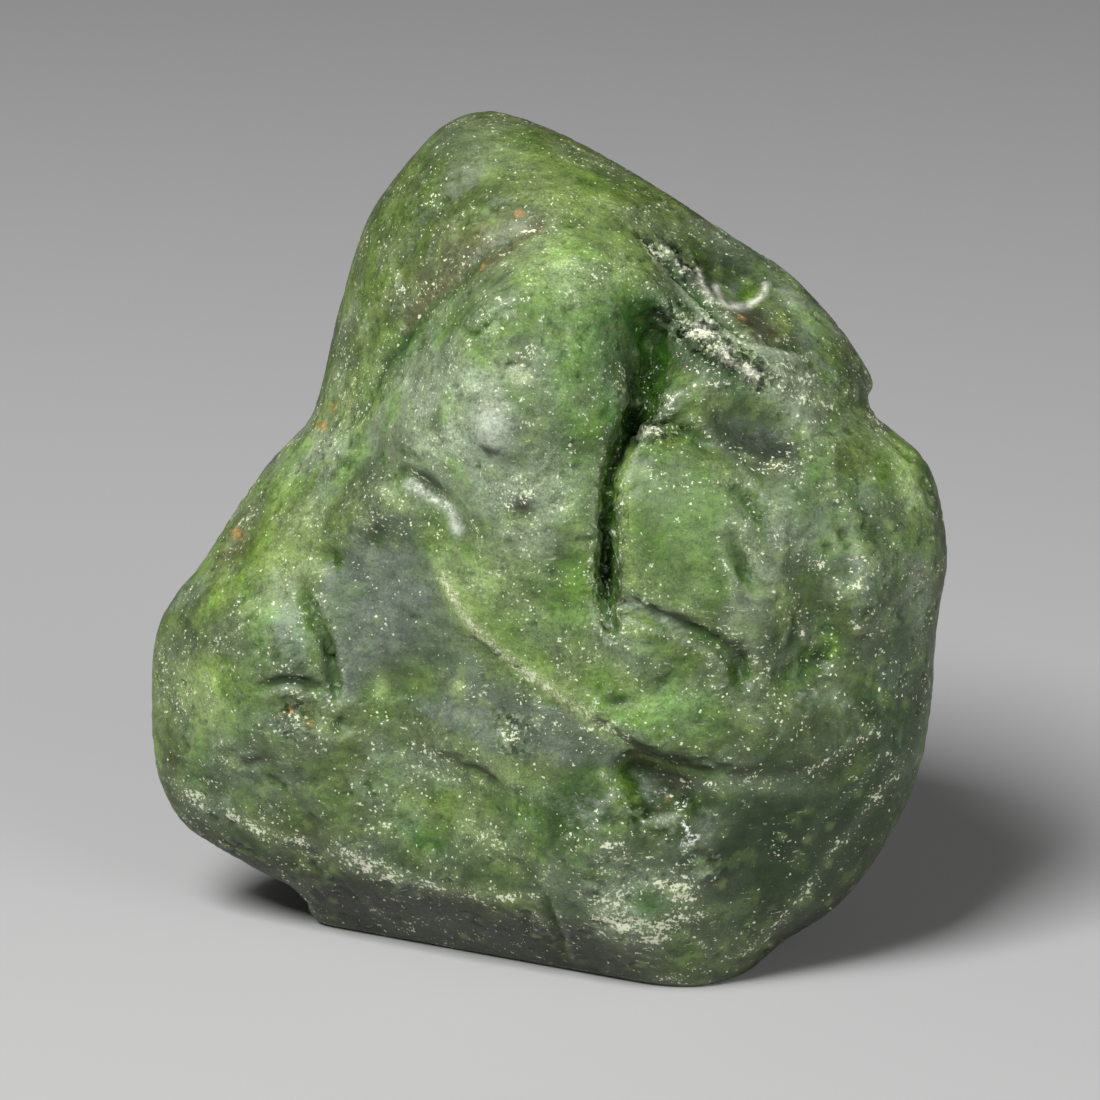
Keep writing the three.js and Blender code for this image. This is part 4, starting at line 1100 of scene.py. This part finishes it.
# ---- Where its skin is frosted and pecked ----
frost = np.maximum.reduce([frost, onset("frosted ridge", -fine_hollow), DRY_FROST * dry])
frost *= 1 - front * cover(astray("frost"), FROST_GAPS)
frost *= (1 - onset("bare cleft", depth)) * (1 - on_bump)
speckle = PECKS_BASE + PECKS_CLUSTERED * field(points, "pecks")
speckle += PECKS_FROST * frost + PECKS_CALM * calm + PECKS_GLOSS * gloss
speckle = np.clip(speckle, PECKS_LEAST, 1) * (1 + PECKS_DOWN * facing_down)


def write_colours(name, values):
    made = mesh.attributes.new(name, "FLOAT_COLOR", "POINT")
    made.data.foreach_set("color", np.concatenate([values, np.ones((len(values), 1))], 1).ravel())


def write_share(name, values):
    mesh.attributes.new(name, "FLOAT", "POINT").data.foreach_set("value", np.clip(values, 0, 1))


write_colours("tint", tint)
write_share("frost", frost)
write_share("gloss", np.maximum(gloss, onset("wet cleft", depth)))
write_share("crystal", crystal)
write_share("speckle", speckle * (1 - on_bump))
write_share("calm", np.maximum(calm, CALM_SKIN * gloss))

# ---- Bring it to the solid's box, in metres ----
low, high = points.min(0), points.max(0)
cad_low, cad_high = np.array(cad_box[0]), np.array(cad_box[1])


def to_solid(places):
    return cad_low + (places - low) * (cad_high - cad_low) / (high - low)


mesh.vertices.foreach_set("co", to_solid(points).ravel())
mesh.polygons.foreach_set("use_smooth", np.ones(len(mesh.polygons), bool))
mesh.update()

stone = bpy.data.objects.new("diopside", mesh)
bpy.context.collection.objects.link(stone)

# ---- The material ----
# Grain sizes of its noise and cells, in millimetres.
GRAIN = 0.06
FINE = 0.13
CLOUD = 0.42
SWELL = 0.4
SCRATCH = 0.1
FLECK = 0.9
PECK = 0.15
FACET = 0.2
STRAY_FINE = 0.14  # how far flecks, pecks and scratches stray
PECK_SIZES = (0.015, 0.05)
PECK_RATE = 1.1

# Grain that is drawn out: turn about the out axis in degrees, and the scale along x, y and z.
CLOUD_RUN = (-33, (0.45, 1, 1.1))
SCRATCH_RUN = (-28, (0.22, 1, 1))

# Colours in linear light, and how strongly each one covers.
HAZE_COLOUR, HAZE_COVER = (0.32, 0.37, 0.25, 1), 0.25
CHINK_COLOUR, CHINK_COVER = (0.02, 0.04, 0.01, 1), 0.45
PALE_COLOUR, PALE_COVER = (0.74, 0.76, 0.56, 1), 0.92

# Roughness of worn skin, from fine grain's low to its high, of fresh breaks and of bruises.
WORN_ROUGH = (0.44, 0.58)
FRESH_ROUGH = 0.13
PALE_ROUGH = 0.5

material = bpy.data.materials.new("worn_diopside")
material.use_nodes = True
tree = material.node_tree
tree.nodes.clear()


def node(kind, inputs=None, **settings):
    """A new shader node with its settings, and its inputs set or linked."""
    made = tree.nodes.new(f"ShaderNode{kind}")
    for name, value in settings.items():
        setattr(made, name, value)
    for name, value in (inputs or {}).items():
        if isinstance(value, bpy.types.NodeSocket):
            tree.links.new(value, made.inputs[name])
        else:
            made.inputs[name].default_value = value
    return made


def calc(operation, a, b=0.0, c=0.0):
    return node("Math", {0: a, 1: b, 2: c}, operation=operation).outputs[0]


def times(a, b):
    return calc("MULTIPLY", a, b)


def most(a, b):
    return calc("MAXIMUM", a, b)


def ramp(value, low, high, start=0.0, end=1.0):
    """From start to end as the value goes from low to high, smoothly."""
    limits = {"Value": value, "From Min": low, "From Max": high, "To Min": start, "To Max": end}
    return node("MapRange", limits, interpolation_type="SMOOTHSTEP").outputs["Result"]


def mixed(a, b, share):
    """Colour a turned into colour b by a share."""
    return node("Mix", {0: share, 6: a, 7: b}, data_type="RGBA").outputs[2]


def between(a, b, share):
    """The number that lies between a and b by a share."""
    return node("Mix", {0: share, 2: a, 3: b}).outputs[0]


def scaled(vector, factor):
    return node("VectorMath", {"Vector": vector, "Scale": factor}, operation="SCALE").outputs[0]


def combined(operation, a, b, output="Vector"):
    return node("VectorMath", {0: a, 1: b}, operation=operation).outputs[output]


def noise_at(vector, size, detail=2.0, roughness=0.5):
    inputs = {"Vector": vector, "Scale": 1 / size, "Detail": detail, "Roughness": roughness}
    return node("TexNoise", inputs).outputs


def drawn_out(vector, run):
    turn, scale = run
    inputs = {"Vector": vector, "Rotation": (0, math.radians(turn), 0), "Scale": scale}
    return node("Mapping", inputs).outputs[0]


def cells_at(vector, size):
    """Cells of this size: the node's outputs, and the parts of each cell's own random colour."""
    cells = node("TexVoronoi", {"Vector": vector, "Scale": 1 / size})
    return cells.outputs, node("SeparateColor", {0: cells.outputs["Color"]}).outputs


def share_of(name):
    return node("Attribute", attribute_name=name).outputs["Fac"]


spot = scaled(node("TexCoord").outputs["Object"], 1 / MM)  # the place in millimetres
strayed_spot = combined("ADD", spot, scaled(noise_at(spot, FINE, 0.0)["Color"], STRAY_FINE))
frost_share = share_of("frost")
gloss_share = share_of("gloss")
crystal_share = share_of("crystal")
speckle_share = share_of("speckle")
calm_share = share_of("calm")
rugged = most(frost_share, crystal_share)
grain = noise_at(spot, GRAIN, 1.0)["Fac"]
fine = noise_at(spot, FINE)["Fac"]
clouds = noise_at(drawn_out(spot, CLOUD_RUN), CLOUD, 4.0, 0.65)["Fac"]

# Colour: cloudy green, drawn out along the grain, with soft flecks inside it.
tint_colour = node("Attribute", attribute_name="tint").outputs["Color"]
grain_height = times(ramp(grain, 0.25, 0.75, -0.4, 0.6), calc("MULTIPLY_ADD", frost_share, 0.8, 0.35))
cloudiness = calc("ADD", ramp(clouds, 0.36, 0.66, 0.8, 1.22), ramp(fine, 0.3, 0.7, -0.16, 0.16))
cloudy = scaled(tint_colour, calc("ADD", cloudiness, grain_height))
fleck, fleck_draw = cells_at(strayed_spot, FLECK)
in_fleck = ramp(fleck["Distance"], 0.1, 0.32, 0.35, 0.0)
colour = mixed(cloudy, (*linear("fern"), 1), times(in_fleck, calc("GREATER_THAN", fleck_draw[0], 0.7)))

# Pecks: small pale bruises, thick on the ridges and sparse on calm ground.
peck, peck_draw = cells_at(strayed_spot, PECK)
peck_size = ramp(peck_draw[1], 0.0, 1.0, PECK_SIZES[0] / PECK, PECK_SIZES[1] / PECK)
in_peck = ramp(calc("DIVIDE", peck["Distance"], peck_size), 0.7, 1.1, 1.0, 0.0)
bruised = times(in_peck, calc("LESS_THAN", peck_draw[0], times(speckle_share, PECK_RATE)))

# Flakes of crust where the skin is frosted or broken, and scratches that run one way.
crumbs = calc("MULTIPLY_ADD", grain, 0.15, calc("MULTIPLY_ADD", clouds, 0.45, times(fine, 0.4)))
flake_edge = calc("MULTIPLY_ADD", rugged, -0.17, 0.66)
flakes = ramp(calc("SUBTRACT", crumbs, flake_edge), -0.015, 0.025)
scratches = noise_at(drawn_out(strayed_spot, SCRATCH_RUN), SCRATCH, 1.0)["Fac"]
scratched = times(ramp(scratches, 0.69, 0.75), calc("MULTIPLY_ADD", speckle_share, 0.7, 0.25))
pale = most(most(bruised, flakes), scratched)
chinks = times(ramp(fine, 0.42, 0.34), rugged)
colour = mixed(colour, HAZE_COLOUR, times(frost_share, HAZE_COVER))
colour = mixed(colour, CHINK_COLOUR, times(chinks, CHINK_COVER))
colour = mixed(colour, PALE_COLOUR, times(pale, PALE_COVER))

# Finish: waxy where it is worn, wet-looking where it is freshly broken, dry where it is bruised.
fresh = most(gloss_share, times(crystal_share, 0.8))
finish = between(ramp(fine, 0.3, 0.7, *WORN_ROUGH), FRESH_ROUGH, fresh)
finish = between(finish, PALE_ROUGH, times(pale, 0.6))

# Relief too fine for the mesh, in millimetres: tilted facets, fine grain and soft swells.
facet = node("TexVoronoi", {"Vector": spot, "Scale": 1 / FACET}).outputs
tilt = combined("SUBTRACT", facet["Color"], (0.5, 0.5, 0.5))
from_middle = combined("SUBTRACT", spot, scaled(facet["Position"], FACET))
facet_height = combined("DOT_PRODUCT", tilt, from_middle, "Value")
height = times(times(facet_height, crystal_share), 0.3)
height = calc("MULTIPLY_ADD", fine, ramp(calm_share, 0.0, 1.0, 0.02, 0.008), height)
swell = noise_at(spot, SWELL)["Fac"]
height = calc("MULTIPLY_ADD", swell, ramp(calm_share, 0.0, 1.0, 0.04, 0.01), height)
bump = node("Bump", {"Height": height, "Strength": 1.0, "Distance": MM})

shader = node("BsdfPrincipled", {
    "Base Color": colour,
    "Roughness": finish,
    "Normal": bump.outputs[0],
    "IOR": 1.5,
    "Subsurface Weight": 0.25,
    "Subsurface Radius": (0.5, 1.0, 0.35),
    "Subsurface Scale": 0.6 * MM,
})
node("OutputMaterial", {"Surface": shader.outputs[0]})
mesh.materials.append(material)

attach(stone, "root")
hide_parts(NODE)

# ---- Floor, light and camera, in metres ----
FLOOR_SIZE = 3
FLOOR_COLOUR = (0.5, 0.5, 0.5, 1)
FLOOR_ROUGH = 0.8
WORLD_COLOUR = (0.05, 0.05, 0.05, 1)

# Soft square lights: place from the stone's middle, size and power.
LIGHTS = [
    ("key", (-0.13, -0.16, 0.28), 0.14, 1.5),
    ("fill", (0.22, -0.26, 0.14), 0.2, 0.4),
]

# The camera looks square at the display face, from in front and above.
CAMERA_LENS = 180
CAMERA_SENSOR = 36
CAMERA_NEAR = 0.01
CAMERA_BACK = 192.5 * MM
CAMERA_AIM = 0.35 * MM  # above the middle of the outline

bpy.ops.mesh.primitive_plane_add(size=FLOOR_SIZE)
floor = bpy.context.object
floor.name = "floor"
plain = bpy.data.materials.new("floor")
plain.use_nodes = True
matt = plain.node_tree.nodes["Principled BSDF"].inputs
matt["Base Color"].default_value = FLOOR_COLOUR
matt["Roughness"].default_value = FLOOR_ROUGH
floor.data.materials.append(plain)

middle = Vector(to_solid(np.array([0, 0, FLOOR_DROP])))
for name, offset, size, power in LIGHTS:
    lamp = bpy.data.lights.new(name, "AREA")
    lamp.shape = "RECTANGLE"
    lamp.size = lamp.size_y = size
    lamp.energy = power
    light = bpy.data.objects.new(name, lamp)
    light.location = middle + Vector(offset)
    light.rotation_euler = (-Vector(offset)).to_track_quat("-Z", "Y").to_euler()
    bpy.context.collection.objects.link(light)

world = bpy.data.worlds.new("studio")
world.use_nodes = True
world.node_tree.nodes["Background"].inputs["Color"].default_value = WORLD_COLOUR
bpy.context.scene.world = world
bpy.context.scene.view_settings.view_transform = "Standard"

lean = math.radians(LEAN)
view_up = Vector((0, math.sin(lean), math.cos(lean)))
view_back = Vector((0, -math.cos(lean), math.sin(lean)))
camera = bpy.data.objects.new("camera", bpy.data.cameras.new("camera"))
camera.data.lens = CAMERA_LENS
camera.data.sensor_width = CAMERA_SENSOR
camera.data.clip_start = CAMERA_NEAR
camera.location = middle + CAMERA_AIM * view_up + CAMERA_BACK * view_back
camera.rotation_euler = (-view_back).to_track_quat("-Z", "Y").to_euler()
bpy.context.collection.objects.link(camera)
bpy.context.scene.camera = camera
